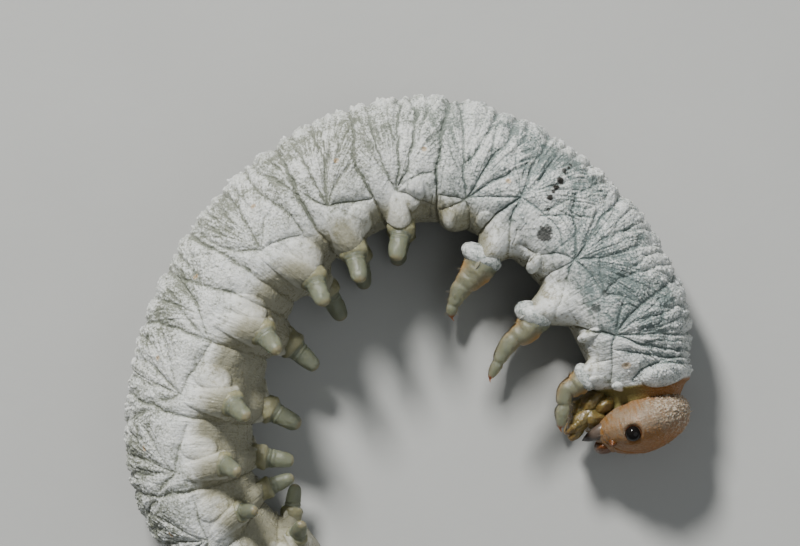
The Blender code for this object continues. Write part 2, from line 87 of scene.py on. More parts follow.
BULBS = (
    ("T1", 0.40, 148.0, 0.18, 0.26, 11.0),
    ("T2", 0.58, 155.0, 0.50, 0.34, 12.0),
    ("T3", 0.87, 156.0, 0.46, 0.30, 12.0),
)

# Skin mesh: where it starts, its rows and columns, and the share of the rows before the tail's end
SKIN_FRONT = -0.55
SKIN_GRID = (1360, 480)
TAIL_SHARE = 0.94
# Around the body, degrees become millimetres on a circle of this radius
GIRTH_RADIUS = 1.85
ARC = GIRTH_RADIUS * math.pi / 180.0
# How far the skin between the creases stands out, and how far all of it lies below the smooth body
PUFF_RISE = 0.095
SKIN_SINK = 0.045
# Grains of wax, and the larger ones on the back: how many, and their least and greatest size
GRAINS = 62000
GRAIN_SIZES = (0.022, 0.046)
SPIKES = 900
SPIKE_SIZES = (0.045, 0.075)

# Dark marks on the right side: place along the body, angle down from the back, radius, darkness
MARKS = (
    (5.98, 35.0, 0.035, 0.5),
    (5.96, 45.0, 0.055, 0.9),
    (5.95, 50.0, 0.050, 0.9),
    (5.98, 56.0, 0.085, 0.85),
    (5.92, 66.0, 0.100, 1.0),
    (5.90, 73.0, 0.095, 1.0),
    (5.90, 78.0, 0.055, 1.0),
    (5.88, 83.0, 0.095, 1.0),
    (5.72, 92.0, 0.055, 0.95),
    (5.35, 109.0, 0.240, 0.86),
    (2.85, 100.0, 0.105, 0.55),
    (2.60, 113.0, 0.145, 0.62),
)
# Breathing holes of both sides: segment, place along it, angle down, half length, half height
SPIRACLES = (
    ("T1", 0.32, 106.0, 0.085, 0.150),
    ("A1", 0.10, 90.0, 0.075, 0.060),
    ("A2", 0.22, 83.0, 0.065, 0.060),
    ("A3", 0.25, 77.0, 0.065, 0.055),
    ("A4", 0.30, 75.0, 0.065, 0.055),
    ("A5", 0.30, 78.0, 0.065, 0.050),
    ("A6", 0.28, 80.0, 0.065, 0.050),
    ("A7", 0.28, 80.0, 0.060, 0.045),
    ("A8", 0.28, 80.0, 0.060, 0.045),
)

# Prolegs, and the flap of skin over each: degrees from the back down to its rim, half width at the
# rim, and the share of the way down where it turns from white to clear skin with painted shade
PROLEG_SEGMENTS = ("A2", "A3", "A4", "A5", "A6", "A7", "A8", "A10")
PROLEG_LEAN = 18.0
PROLEG_SCALE = {"A7": 0.90, "A8": 0.80, "A10": 0.78}
LOBES = {"A2": (142.0, 0.52, 0.90), "A3": (156.0, 0.66, 0.12), "A4": (156.0, 0.60, 0.22)}
HIND_LOBE = (154.0, 0.58, 0.25)
# How far each flap stands out, and its half width at the top
LOBE_RISE = 0.20
LOBE_TOP = 0.12
# Plump pads over the neck and above legs and prolegs: place, degrees down, half length, half width,
# rise, turn
PADS = (
    (0.28, 62.0, 0.34, 1.05, 0.24, 0.10),
    (0.10, 122.0, 0.15, 0.20, 0.22, 0.0),
    (0.34, 138.0, 0.22, 0.30, 0.12, 0.3),
    (1.88, 137.0, 0.18, 0.55, 0.15, 0.1),
    (4.90, 143.0, 0.24, 0.52, 0.17, 0.2),
    (3.45, 150.0, 0.30, 0.30, 0.10, 0.0),
    (7.15, 132.0, 0.34, 0.34, 0.10, 0.0),
    (8.45, 140.0, 0.30, 0.34, 0.10, 0.0),
)


# Creases of the right side, copied from the photo. A point is the place along the body and the
# degrees down from the middle of the back. First the folds between segments
FOLDS = (
    ((1.65, 110), (2.05, 132), (2.45, 160)),
    ((6.55, 97), (6.90, 120), (7.15, 153)),
    ((8.95, 31), (9.05, 66), (9.10, 110), (8.85, 170)),
    ((11.10, 4), (11.00, 57), (11.40, 82), (11.15, 115), (11.05, 145)),
    ((12.85, 13), (12.80, 53), (13.00, 80), (13.25, 129)),
    ((15.50, 34), (15.55, 78), (15.45, 96), (15.50, 117)),
    ((16.50, 45), (16.55, 65), (16.35, 102), (16.15, 125)),
    ((17.80, 41), (17.65, 66), (17.70, 113)),
)
# Fans: the point where creases run together, and each crease's kind and further points. 2 is a strong
# crease, 1 a crease and 0 a fine line
FANS = (
    ((1.65, 108),
     (2, (2.05, 99), (2.35, 90)),
     (2, (2.10, 85), (2.30, 55), (2.50, 0)),
     (1, (1.80, 85), (1.80, 57)),
     (2, (1.35, 80), (1.20, 50), (1.10, 8)),
     (2, (1.05, 82), (0.80, 50), (0.65, 0)),
     (2, (1.40, 115), (0.60, 124), (0.25, 131))),
    ((2.85, 101),
     (1, (3.50, 94), (3.70, 90)),
     (1, (3.70, 103), (4.10, 108)),
     (1, (3.05, 82), (2.95, 60), (2.65, 0)),
     (1, (2.40, 81), (1.90, 58), (1.60, 0)),
     (0, (2.75, 108), (2.95, 126))),
    ((4.15, 108),
     (2, (4.65, 94), (5.20, 78), (5.40, 66)),
     (2, (4.35, 88), (4.60, 58), (4.65, 14)),
     (1, (3.75, 89), (3.55, 68), (3.15, 13)),
     (1, (3.85, 126), (3.20, 136), (2.75, 147)),
     (1, (4.60, 111), (5.10, 133), (5.75, 133)),
     (1, (4.35, 135), (4.30, 171))),
    ((6.55, 96),
     (1, (6.95, 81), (7.20, 64), (7.20, 50)),
     (2, (6.65, 74), (6.70, 32)),
     (1, (6.35, 77), (6.30, 31)),
     (2, (6.45, 121), (6.00, 135), (5.60, 163)),
     (1, (5.95, 97), (5.25, 98), (4.70, 106)),
     (1, (7.10, 107), (7.60, 112), (8.05, 119))),
    ((8.05, 120),
     (2, (8.30, 99), (8.50, 74), (8.65, 47), (8.75, 28)),
     (2, (7.90, 108), (7.75, 80), (7.50, 57), (7.50, 41)),
     (2, (7.65, 106), (7.30, 90), (7.15, 81)),
     (1, (8.40, 119), (8.95, 122)),
     (1, (8.30, 125), (8.85, 136)),
     (2, (7.80, 128), (7.60, 150), (7.60, 176))),
    ((10.35, 118),
     (2, (10.60, 98), (10.70, 79), (10.65, 27)),
     (2, (10.20, 100), (10.15, 76), (10.00, 50), (10.00, 25)),
     (2, (10.05, 104), (9.70, 76), (9.65, 50), (9.75, 24)),
     (1, (10.60, 101), (10.80, 86)),
     (1, (9.80, 104), (9.20, 101)),
     (2, (9.90, 122), (9.30, 133), (9.05, 134))),
    ((12.55, 108),
     (2, (12.70, 103), (12.85, 90)),
     (2, (12.50, 90), (12.45, 70), (12.35, 50), (12.40, 30)),
     (2, (12.20, 87), (11.95, 69), (12.00, 50), (11.90, 31)),
     (1, (12.25, 100), (11.65, 88), (11.40, 82)),
     (2, (11.85, 114), (11.15, 119))),
    ((14.80, 108),
     (2, (14.60, 93), (14.40, 73), (14.35, 54)),
     (2, (15.20, 94), (15.40, 80), (15.35, 55)),
     (1, (14.70, 90), (14.70, 66), (14.75, 53)),
     (1, (14.30, 94), (14.05, 88)),
     (1, (14.20, 110), (13.70, 118))),
    ((17.75, 120),
     (2, (17.20, 102), (16.70, 85), (16.55, 60)),
     (2, (17.40, 96), (17.15, 71), (17.15, 52)),
     (1, (17.70, 97), (17.60, 68), (17.60, 47))),
)
# Single creases from the first segment of the thorax to the fifth of the abdomen
SINGLES = (
    (2, (1.05, 100), (0.65, 67), (0.55, 20)),
    (2, (0.25, 104), (0.60, 85), (0.40, 38)),
    (1, (1.45, 84), (1.40, 74), (1.55, 48), (1.45, 8)),
    (1, (1.15, 87), (1.15, 73), (0.90, 21)),
    (1, (1.25, 117), (1.05, 100)),
    (1, (0.95, 122), (1.00, 142)),
    (2, (1.10, 164), (0.70, 140), (0.05, 156)),
    (1, (2.35, 90), (2.10, 76)),
    (1, (3.15, 68), (3.15, 41), (2.95, 0)),
    (0, (3.10, 131), (2.40, 137)),
    (1, (4.15, 79), (3.95, 51), (3.55, 0)),
    (0, (4.35, 64), (4.10, 0)),
    (1, (5.40, 66), (5.25, 48), (5.05, 0)),
    (1, (5.40, 66), (5.60, 86), (5.75, 95)),
    (1, (5.75, 101), (5.10, 82), (4.65, 70)),
    (0, (4.70, 106), (4.65, 94)),
    (0, (5.65, 98), (5.65, 83)),
    (0, (4.60, 96), (5.30, 90)),
    (1, (5.10, 133), (5.05, 180)),
    (1, (5.50, 0), (5.60, 58)),
    (1, (6.10, 123), (5.85, 140)),
    (1, (6.00, 0), (6.05, 42)),
    (1, (7.05, 75), (6.75, 63), (6.50, 47)),
    (1, (7.15, 81), (6.80, 90)),
    (0, (7.60, 72), (7.45, 58)),
    (1, (7.70, 76), (7.85, 61)),
    (2, (8.35, 91), (8.05, 70), (7.90, 31)),
    (1, (8.20, 63), (8.10, 10)),
    (0, (8.80, 81), (8.35, 100)),
    (0, (8.90, 96), (8.90, 118)),
    (0, (8.90, 121), (8.80, 143)),
    (1, (9.35, 67), (9.15, 83)),
    (1, (9.20, 122), (9.25, 155)),
    (1, (9.60, 77), (9.45, 52), (9.40, 29)),
    (0, (10.05, 96), (9.95, 117)),
    (1, (10.20, 75), (10.30, 52), (10.25, 31)),
    (0, (10.40, 63), (10.40, 33)),
    (1, (10.90, 56), (10.75, 78)),
    (1, (11.15, 106), (11.10, 128)),
    (1, (11.60, 76), (11.45, 52), (11.35, 26)),
    (1, (11.90, 71), (11.80, 50), (11.60, 30)),
    (1, (12.40, 59), (12.50, 43), (12.70, 42)),
    (1, (13.05, 48), (13.00, 77)),
    (2, (13.45, 46), (13.30, 64), (13.10, 80)),
    (1, (13.25, 73), (13.35, 18)),
    (2, (13.70, 50), (13.80, 70), (13.50, 102), (13.65, 123)),
    (1, (14.15, 58), (14.20, 73)),
    (1, (14.85, 78), (14.90, 45)),
    (1, (16.05, 58), (15.65, 79), (15.45, 84)),
    (2, (16.05, 58), (16.40, 86)),
    (1, (16.40, 61), (16.40, 86)),
    (1, (17.15, 74), (17.15, 95)),
)
# Half width of each kind of crease, and its depth; kind 3 is a fold between segments
CREASE_SIZES = {3: (0.034, 0.070), 2: (0.025, 0.042), 1: (0.021, 0.028), 0: (0.019, 0.020)}
# How far a crease is felt, the distance where there is none, and the degrees down above which a
# crease runs on to the middle of the back
CREASE_REACH = 1.3
NO_CREASE = 9.0
BACK_EDGE = 62
# The hind segments repeat the creases of the stretch between these two places
REPEATED = (11.20, 13.30)
REPEATS = ("A6", "A7", "A8", "A9")
# Points on the side where each segment's creases run together: place, degrees down
PINCHES = ((1.65, 108), (4.15, 108), (6.55, 97), (8.05, 120), (10.35, 118), (12.55, 108), (14.80, 108),
           (17.10, 112), (19.35, 112), (21.40, 112), (23.25, 112), (24.65, 112), (25.80, 112))

LENGTHS = np.array([row[1] for row in SEGMENTS])
STARTS = np.concatenate(([0.0], np.cumsum(LENGTHS)))
MIDDLES = 0.5 * (STARTS[:-1] + STARTS[1:])
TURNS = np.concatenate(([0.0], np.cumsum([row[2] for row in SEGMENTS])))
ROLLS = [row[6] for row in SEGMENTS]
INDEX = {row[0]: number for number, row in enumerate(SEGMENTS)}
TAIL = float(STARTS[-1])
# Where on its segment each leg or proleg stands: share of the length, degrees down
ROOTS = {row[0]: row[1:3] for row in SWELLINGS}
CURVE_FRONT = -0.76
CURVE_STEP = 0.01
UP = (0.0, 0.0, 1.0)
# The floor is at 0, and no point of the skin or the head shell lies lower than this
LOWEST = 0.004


def up_from(value, start, width):
    """Go from 0 at start to 1 a width further on."""
    return np.clip((value - start) / width, 0.0, 1.0)


def down_to(value, end, width):
    """Go from 1, a width before end, to 0 at end."""
    return np.clip((end - value) / width, 0.0, 1.0)


def bell(value, width, power=2):
    """Go from 1 at 0 softly down to 0."""
    return np.exp(-(value / width) ** power)


def stacked(x, y, z):
    """Points from three coordinates, which may differ in shape."""
    return np.stack(np.broadcast_arrays(x, y, z), axis=-1)


def ring_angles(columns):
    """Angles of the points of a ring."""
    return np.linspace(0.0, 2.0 * math.pi, columns, endpoint=False)


def place_of(segment, along):
    """Place along the body of a point given as a share of its segment."""
    return float(STARTS[INDEX[segment]] + along * LENGTHS[INDEX[segment]])


def root_place(segment):
    """Place along the body where a segment's legs stand."""
    return place_of(segment, ROOTS[segment][0])


def through(xs, ys, x):
    """Read a smooth curve through the points (xs, ys) at x."""
    xs = np.asarray(xs, float)
    ys = np.asarray(ys, float)
    slopes = np.gradient(ys, xs)
    i = np.clip(np.searchsorted(xs, x) - 1, 0, len(xs) - 2)
    step = xs[i + 1] - xs[i]
    t = np.clip((x - xs[i]) / step, 0.0, 1.0)
    start = (2 * t ** 3 - 3 * t ** 2 + 1) * ys[i] + (t ** 3 - 2 * t ** 2 + t) * step * slopes[i]
    end = (3 * t ** 2 - 2 * t ** 3) * ys[i + 1] + (t ** 3 - t ** 2) * step * slopes[i + 1]
    return start + end


def segment_size(column, s):
    """Half size of the body at s: column 0 is towards the back, 1 the belly and 2 the side."""
    places = np.concatenate(([0.0], MIDDLES, [TAIL]))
    values = [NECK_SIZE[column]] + [row[3 + column] for row in SEGMENTS] + [TAIL_SIZE[column]]
    return through(places, values, s)


def heading(s):
    """Direction of the body's curve at s, in radians."""
    return np.radians(NECK_HEADING + through(STARTS, TURNS, np.clip(s, 0.0, TAIL)))


def make_curve():
    """Add up the body's plane curve in short steps."""
    places = np.arange(CURVE_FRONT, TAIL + CURVE_STEP, CURVE_STEP)
    angles = heading(places + 0.5 * CURVE_STEP)
    x = np.concatenate(([0.0], np.cumsum(np.cos(angles) * CURVE_STEP)))[:-1]
    y = np.concatenate(([0.0], np.cumsum(np.sin(angles) * CURVE_STEP)))[:-1]
    x += NECK[0] - np.interp(0.0, places, x)
    y += NECK[1] - np.interp(0.0, places, y)
    return places, x, y


CURVE_S, CURVE_X, CURVE_Y = make_curve()


def tail_rounding(s):
    """Shrink the body to a rounded end over the last stretch."""
    t = up_from(s, TAIL - TAIL_ROUNDING, TAIL_ROUNDING)
    return np.sqrt(np.maximum(1.0 - 0.995 * t ** 2, 0.0))


def axis_height(s):
    """Height of the body's axis above the floor."""
    return segment_size(2, s) * tail_rounding(s) - SETTLE


def axis_point(s):
    """Point of the body's axis at s."""
    x = float(np.interp(s, CURVE_S, CURVE_X))
    y = float(np.interp(s, CURVE_S, CURVE_Y))
    return Vector((x, y, float(axis_height(np.clip(s, 0.0, TAIL)))))


def swellings(s, down):
    """Height of the pads that carry legs and prolegs."""
    height = np.zeros(np.broadcast(s, down).shape)
    for name, along, angle, rise, length, width in SWELLINGS + BULBS:
        distance = ((s - place_of(name, along)) / length) ** 2 + ((down - angle) / width) ** 2
        height += rise * np.exp(-distance ** 1.4 * 1.6)
    return height


def base_radius(s, angle):
    """Distance of the unfolded skin from the axis."""
    down = np.abs((np.degrees(angle) + 180.0) % 360.0 - 180.0)
    cos = np.abs(np.cos(angle))
    sin = np.abs(np.sin(angle))
    tall = np.where(down < 90.0, segment_size(0, s), segment_size(1, s))
    base = ((cos / tall) ** SQUARENESS + (sin / segment_size(2, s)) ** SQUARENESS) ** (-1.0 / SQUARENESS)
    return base * tail_rounding(s) + swellings(s, down)


def place_points(s, angle, radius):
    """Turn body coordinates into points."""
    inside = np.clip(s, 0.0, TAIL)
    turned = angle - np.radians(through(MIDDLES, ROLLS, inside))
    h = heading(s)
    x = np.interp(s, CURVE_S, CURVE_X) + radius * np.cos(turned) * np.sin(h)
    y = np.interp(s, CURVE_S, CURVE_Y) - radius * np.cos(turned) * np.cos(h)
    z = axis_height(inside) + radius * np.sin(turned)
    return stacked(x, y, z)


def random_grid(ix, iy, iz, seed):
    """Repeatable random value for each lattice point."""
    h = (ix * 374761393 + iy * 668265263 + iz * 1442695041 + seed * 974711) & 0xFFFFFFFF
    h = ((h ^ (h >> 13)) * 1274126177) & 0xFFFFFFFF
    return ((h ^ (h >> 16)) & 0xFFFFFF) / float(0xFFFFFF)


def noise(points, scale, seed):
    """Smooth value noise from 0 to 1, with features about scale across."""
    p = points / scale + 1000.0
    cell = np.floor(p).astype(np.int64)
    f = p - cell
    f = f * f * f * (f * (f * 6.0 - 15.0) + 10.0)
    total = np.zeros(points.shape[:-1])
    for dx in (0, 1):
        wx = f[..., 0] if dx else 1.0 - f[..., 0]
        for dy in (0, 1):
            wy = f[..., 1] if dy else 1.0 - f[..., 1]
            for dz in (0, 1):
                wz = f[..., 2] if dz else 1.0 - f[..., 2]
                value = random_grid(cell[..., 0] + dx, cell[..., 1] + dy, cell[..., 2] + dz, seed)
                total += wx * wy * wz * value
    return total


def swing(points, scale, seed, amount):
    """Noise about 0, as wide in all as amount."""
    return (noise(points, scale, seed) - 0.5) * amount


def crinkle(points, scale, seed):
    """Noise with sharp dips, from 0 at the bottom of a dip to 1."""
    return np.abs(2.0 * noise(points, scale, seed) - 1.0)


class Folds:
    """Collects grooves, their shade and the distance to the nearest one, on the skin's grid."""

    def __init__(self, s, arc):
        self.s = s
        self.arc = arc
        self.groove = np.zeros(s.shape)
        self.shade = np.zeros(s.shape)
        self.nearest = np.full(s.shape, NO_CREASE)

    def line(self, kind, points):
        """Press one crease along (place, degrees down) points; it is wide and pale on the back."""
        width, depth = CREASE_SIZES[kind]
        rows = self.s[:, 0]
        for (s0, d0), (s1, d1) in zip(points, points[1:]):
            first = np.searchsorted(rows, min(s0, s1) - CREASE_REACH)
            last = np.searchsorted(rows, max(s0, s1) + CREASE_REACH)
            if last - first < 2:
                continue
            part = slice(first, last)
            s = self.s[part]
            arc = self.arc[part]
            a0 = d0 * ARC
            ds = s1 - s0
            da = d1 * ARC - a0
            t = np.clip(((s - s0) * ds + (arc - a0) * da) / (ds * ds + da * da + 1e-12), 0.0, 1.0)
            distance = np.hypot(s - s0 - t * ds, arc - a0 - t * da)
            ring = down_to(arc / ARC, 58.0, 30.0)
            cut = depth * (1.0 + 0.35 * ring) * bell(distance, width * (1.0 + 1.3 * ring), 1.4)
            shade = bell(distance, 0.95 * width, 1.6) * (0.42 + 0.17 * kind) * (1.0 - 0.60 * ring)
            self.groove[part] = np.maximum(self.groove[part], cut)
            self.shade[part] = np.maximum(self.shade[part], shade)
            if kind > 0:
                far = distance + (0.10 if kind == 1 else 0.0)
                self.nearest[part] = np.minimum(self.nearest[part], far)


def rounded(points):
    """Cut the corners of a line twice, so that it bends softly."""
    for _ in range(2):
        cut = [points[0]]
        for (s0, d0), (s1, d1) in zip(points, points[1:]):
            cut.append((0.75 * s0 + 0.25 * s1, 0.75 * d0 + 0.25 * d1))
            cut.append((0.25 * s0 + 0.75 * s1, 0.25 * d0 + 0.75 * d1))
        points = cut + [points[-1]]
    return points


def crease_lines():
    """All creases of one side, from the middle of the back to the middle of the belly."""
    creases = [(3, *points) for points in FOLDS] + list(SINGLES)
    for start, *rays in FANS:
        creases += [(kind, start, *points) for kind, *points in rays]
    lines = []
    for kind, *points in creases:
        lines.append((kind, points))
        if REPEATED[0] < sum(p[0] for p in points) / len(points) < REPEATED[1]:
            for name in REPEATS:
                start = place_of(name, 0.0)
                share = LENGTHS[INDEX[name]] / LENGTHS[INDEX["A3"]]
                lines.append((kind, [(start + (s - REPEATED[0]) * share, d) for s, d in points]))
    done = []
    for kind, points in lines:
        if points[-1][1] < BACK_EDGE:
            points = points + [(points[-1][0], 0)]
        if points[0][1] < BACK_EDGE:
            points = [(points[0][0], 0)] + points
        if kind == 3:
            points = points + [(points[-1][0] - 0.03, 180)]
        done.append((kind, rounded(points)))
    return done


def shifted(field, s, moved):
    """Read a grid field at places moved along the body."""
    rows = s[:, 0]
    index = np.clip(np.interp(moved, rows, np.arange(len(rows))), 0, len(rows) - 1.001)
    low = index.astype(int)
    part = index - low
    columns = np.broadcast_to(np.arange(s.shape[1]), s.shape)
    return field[low, columns] * (1.0 - part) + field[low + 1, columns] * part


def fan_places(s, down):
    """Straighten the fans: the place on the back that each point's ring comes from."""
    number = np.clip(np.searchsorted(STARTS, s[:, 0], side="right") - 1, 0, len(SEGMENTS) - 1)
    centre, low = np.array(PINCHES)[number].T[:, :, None]
    pull = np.clip((down - 0.25 * low) / (0.75 * low), 0.0, 0.93) ** 1.2
    return (s - centre * pull) / (1.0 - pull)


def lobes(s, down):
    """Flaps over the prolegs, narrow above and with a crisp rim: their height, and where they are clear and
    take painted shade.
    """
    height = np.zeros(s.shape)
    clear = np.zeros(s.shape)
    for name in PROLEG_SEGMENTS:
        centre, low = PINCHES[INDEX[name]]
        scale = PROLEG_SCALE.get(name, 1.0)
        lowest, half, turn = LOBES.get(name, HIND_LOBE)
        v = np.clip((down - low) / (lowest - low), 0.0, 3.0)
        inner = np.minimum(v, 1.0)
        middle = centre + (root_place(name) + 0.04 - centre) * inner
        width = (LOBE_TOP + (half - LOBE_TOP) * inner ** 0.7) * scale
        across = np.clip(1.0 - (np.abs(s - middle) / width) ** 4.0, 0.0, 1.0)
        rim = np.clip(1.0 - (v - 1.0) / 0.08, 0.0, 1.0)
        rise = LOBE_RISE * scale * inner ** 0.7 * across ** 0.4 * rim ** 0.5
        clear = np.maximum(clear, across * up_from(v, turn, 0.25))

        # the smaller flap in front of it
        ds = (s - middle + 1.15 * half) / (0.62 * half)
        da = (down - lowest + 22.0) / 17.0
        small = 0.6 * LOBE_RISE * scale * np.sqrt(np.clip(1.0 - np.hypot(ds, da) ** 2.6, 0.0, 1.0))
        height = np.maximum(height, np.maximum(rise, small))
    return height, clear


def pads(s, down):
    """Plump pads over the neck and above the legs."""
    pad = np.zeros(s.shape)
    for place, angle, length, width, rise, turn in PADS:
        ds = s - place
        da = (down - angle) * ARC
        u = (ds * math.cos(turn) + da * math.sin(turn)) / length
        v = (da * math.cos(turn) - ds * math.sin(turn)) / width
        pad = np.maximum(pad, rise * np.sqrt(np.clip(1.0 - np.hypot(u, v) ** 2.2, 0.0, 1.0)))
    return pad


def scatter(s, count, seed, size_range, where, lift):
    """Round grains at random places where the given chance allows them."""
    rng = np.random.default_rng(seed)
    height = np.zeros(s.shape)
    rows = s[:, 0]
    columns = s.shape[1]
    step_s = rows[1] - rows[0]
    step_a = 2.0 * math.pi / columns * GIRTH_RADIUS
    places = rng.uniform(0.05, TAIL - 0.15, count)
    angles = rng.uniform(-math.pi, math.pi, count)
    sizes = rng.uniform(*size_range, count)
    luck = rng.random(count)
    for place, turn, size, chance in zip(places, angles, sizes, luck):
        i = int(np.searchsorted(rows, place))
        j = int(round((turn + math.pi) / (2.0 * math.pi) * columns)) % columns
        if chance > where[i, j]:
            continue
        ri = int(2.0 * size / step_s) + 1
        rj = int(2.0 * size / step_a) + 1
        di = np.arange(max(i - ri, 0), min(i + ri + 1, len(rows)))
        dj = np.arange(j - rj, j + rj + 1)
        d = ((di - i) * step_s)[:, None] ** 2 + ((dj - j) * step_a)[None, :] ** 2
        bump = lift * size * np.exp(-d / (0.72 * size) ** 2)
        block = np.ix_(di, dj % columns)
        height[block] = np.maximum(height[block], bump)
    return height


def skin_relief(s, angle, down):
    """Height of folds, wrinkles and grains over the smooth body, with the fields that colour them."""
    arc = down * ARC
    girth = arc * np.sign(np.sin(angle) + 1e-9)
    flat = stacked(s, girth, 0.0)
    folds = Folds(s, arc + swing(flat, 0.33, 3, 0.07))
    for kind, points in crease_lines():
        folds.line(kind, points)
    moved = s + swing(flat, 0.40, 1, 0.09) + swing(flat, 0.15, 2, 0.035)
    hind = np.clip(1.0 - (s - 13.0) / 5.0, 0.55, 1.0)
    groove = shifted(folds.groove, s, moved) * hind
    shade = shifted(folds.shade, s, moved) * hind
    nearest = shifted(folds.nearest, s, moved)

    end = down_to(s, TAIL, 1.2) * up_from(s, -0.05, 0.4)
    back = down_to(down, 100.0, 60.0)
    crest = down_to(down, 60.0, 35.0)
    belly = up_from(down, 146.0, 10.0)
    puff = PUFF_RISE * (1.0 - bell(np.minimum(nearest, 1.2), 0.19, 1.5)) * (1.0 - 0.5 * belly)

    # streaks that run along the fans, strong in the band below the back; in the colour they whiten the thin
    # wax, partly as painted highlight on the wrinkles
    rings = fan_places(s, down)
    streak = (0.6 * crinkle(stacked(rings / 0.075, girth / 0.42, 0.0), 1.0, 11)
              + 0.4 * crinkle(stacked(rings / 0.16, girth / 0.55, 0.0), 1.0, 12))
    ridge = crinkle(stacked(rings / 0.34, girth / 1.3, 0.0), 1.0, 14)
    between = bell(ridge, 0.16, 1.3) * down_to(down, 100.0, 30.0)
    band = up_from(down, 26.0, 16.0) * down_to(down, 98.0, 26.0)
    patch = up_from(noise(flat, 0.75, 13), 0.36, 0.22)
    beside = bell(nearest, 0.085, 1.5) * down_to(down, 125.0, 30.0)
    thin = np.maximum(band * (0.30 + 0.70 * patch), 0.75 * beside)

    fine = (crinkle(flat, 0.21, 5) - 0.35) * 0.030 + (crinkle(flat, 0.10, 6) - 0.35) * 0.020
    fine = fine * (0.48 + 0.52 * back) * (1.0 - 0.5 * belly)
    pits = swing(flat, 0.052, 7, 0.016) * (0.4 + 0.6 * back)
    relief = puff - SKIN_SINK - groove + fine + pits + (streak - 0.4) * (0.022 + 0.055 * thin)
    # the furrows between the ridges sink, and their painted shade joins that of the creases
    relief = relief - 0.060 * between
    shade = np.maximum(shade, 0.42 * between * (0.4 + 0.6 * patch))

    # grains of wax in clumps, the largest on the crest of the back
    clumps = up_from(noise(flat, 0.28, 21), 0.40, 0.25)
    chance = (0.22 + 0.30 * band + 0.60 * crest * clumps) * down_to(down, 118.0, 40.0)
    chance = chance * np.clip(nearest / 0.09, 0.15, 1.0)
    grain = scatter(s, GRAINS, 5, GRAIN_SIZES, chance, 0.85)
    spikes = scatter(s, SPIKES, 6, SPIKE_SIZES, crest * clumps * up_from(nearest, 0.0, 0.15), 1.35)
    grain = np.maximum(grain, spikes) * (0.75 + 0.5 * noise(flat, 0.035, 22))
    flaps, clear = lobes(s, down)
    soft = flaps + pads(s, down)
    fields = {
        "crease_shade": np.clip(shade, 0.0, 1.0) * end,
        "deep": up_from(groove, 0.0, 0.2) * end,
        "grain": up_from(grain, 0.0, 0.05) * end,
        "thin": thin,
        "streak": streak,
        "lobe": up_from(soft, 0.0, LOBE_RISE),
        "clear": clear,
    }
    return (relief + grain) * end + soft, fields


def marks(s, degrees):
    """Mask of the dark marks on the right side."""
    dark = np.zeros(s.shape)
    flat = stacked(s, degrees * ARC, 0.0)
    ragged = 0.6 * (swing(flat, 0.075, 31, 0.75) + swing(flat, 0.04, 32, 0.35))
    for place, angle, size, amount in MARKS:
        d = np.hypot(s - place, (degrees - angle) * ARC) / size
        dark = np.maximum(dark, amount * down_to(d, 1.05 + ragged, 0.22))
    return dark


def spiracles(s, down):
    """Mask of the breathing holes of both sides: 1 in the hole, less on its rim."""
    hole = np.zeros(s.shape)
    for name, along, angle, length, height in SPIRACLES:
        d = np.hypot((s - place_of(name, along)) / length, (down - angle) * ARC / height)
        hole = np.maximum(hole, np.clip(1.35 - d, 0.0, 1.0))
    return hole


def grid_faces(rows, columns):
    """Quads of a grid that is closed around its columns."""
    i = np.arange(rows - 1)[:, None]
    j = np.arange(columns)[None, :]
    a = i * columns + j
    b = i * columns + (j + 1) % columns
    return np.stack((a, b, b + columns, a + columns), axis=-1).reshape(-1, 4).astype(np.int32)


def close_ends(mesh, rows, columns):
    """Close both ends with triangles to the last two vertices, and turn all faces outwards."""
    bm = bmesh.new()
    bm.from_mesh(mesh)
    bm.verts.ensure_lookup_table()
    middle = rows * columns
    last_ring = middle - columns
    for j in range(columns):
        k = (j + 1) % columns
        for corners in ((k, j, middle), (j + last_ring, k + last_ring, middle + 1)):
            face = bm.faces.new([bm.verts[c] for c in corners])
            face.smooth = True
    bmesh.ops.recalc_face_normals(bm, faces=bm.faces)
    bm.to_mesh(mesh)
    bm.free()


def closed_mesh(name, grid, material, fields):
    """Make a piece from rings of points; a field is one number, or a number per ring or per point."""
    rows, columns, _ = grid.shape
    verts = np.vstack((grid.reshape(-1, 3), grid[0].mean(axis=0), grid[-1].mean(axis=0)))
    faces = grid_faces(rows, columns)
    mesh = bpy.data.meshes.new(name)
    mesh.vertices.add(len(verts))
    mesh.vertices.foreach_set("co", (verts * MM).astype(np.float32).ravel())
    mesh.loops.add(faces.size)
    mesh.loops.foreach_set("vertex_index", faces.ravel())
    mesh.polygons.add(len(faces))
    mesh.polygons.foreach_set("loop_start", np.arange(0, faces.size, 4, dtype=np.int32))
    mesh.polygons.foreach_set("loop_total", np.full(len(faces), 4, np.int32))
    mesh.update(calc_edges=True)
    for key, field in fields.items():
        field = np.asarray(field, float)
        if field.ndim == 1:
            field = field[:, None]
        field = np.broadcast_to(field, (rows, columns))
        values = np.concatenate((field.ravel(), (field[0].mean(), field[-1].mean())))
        layer = mesh.attributes.new(key, "FLOAT", "POINT")
        layer.data.foreach_set("value", values.astype(np.float32))
    mesh.shade_smooth()
    obj = bpy.data.objects.new(name, mesh)
    bpy.context.scene.collection.objects.link(obj)
    mesh.materials.append(material)
    close_ends(mesh, rows, columns)
    return obj


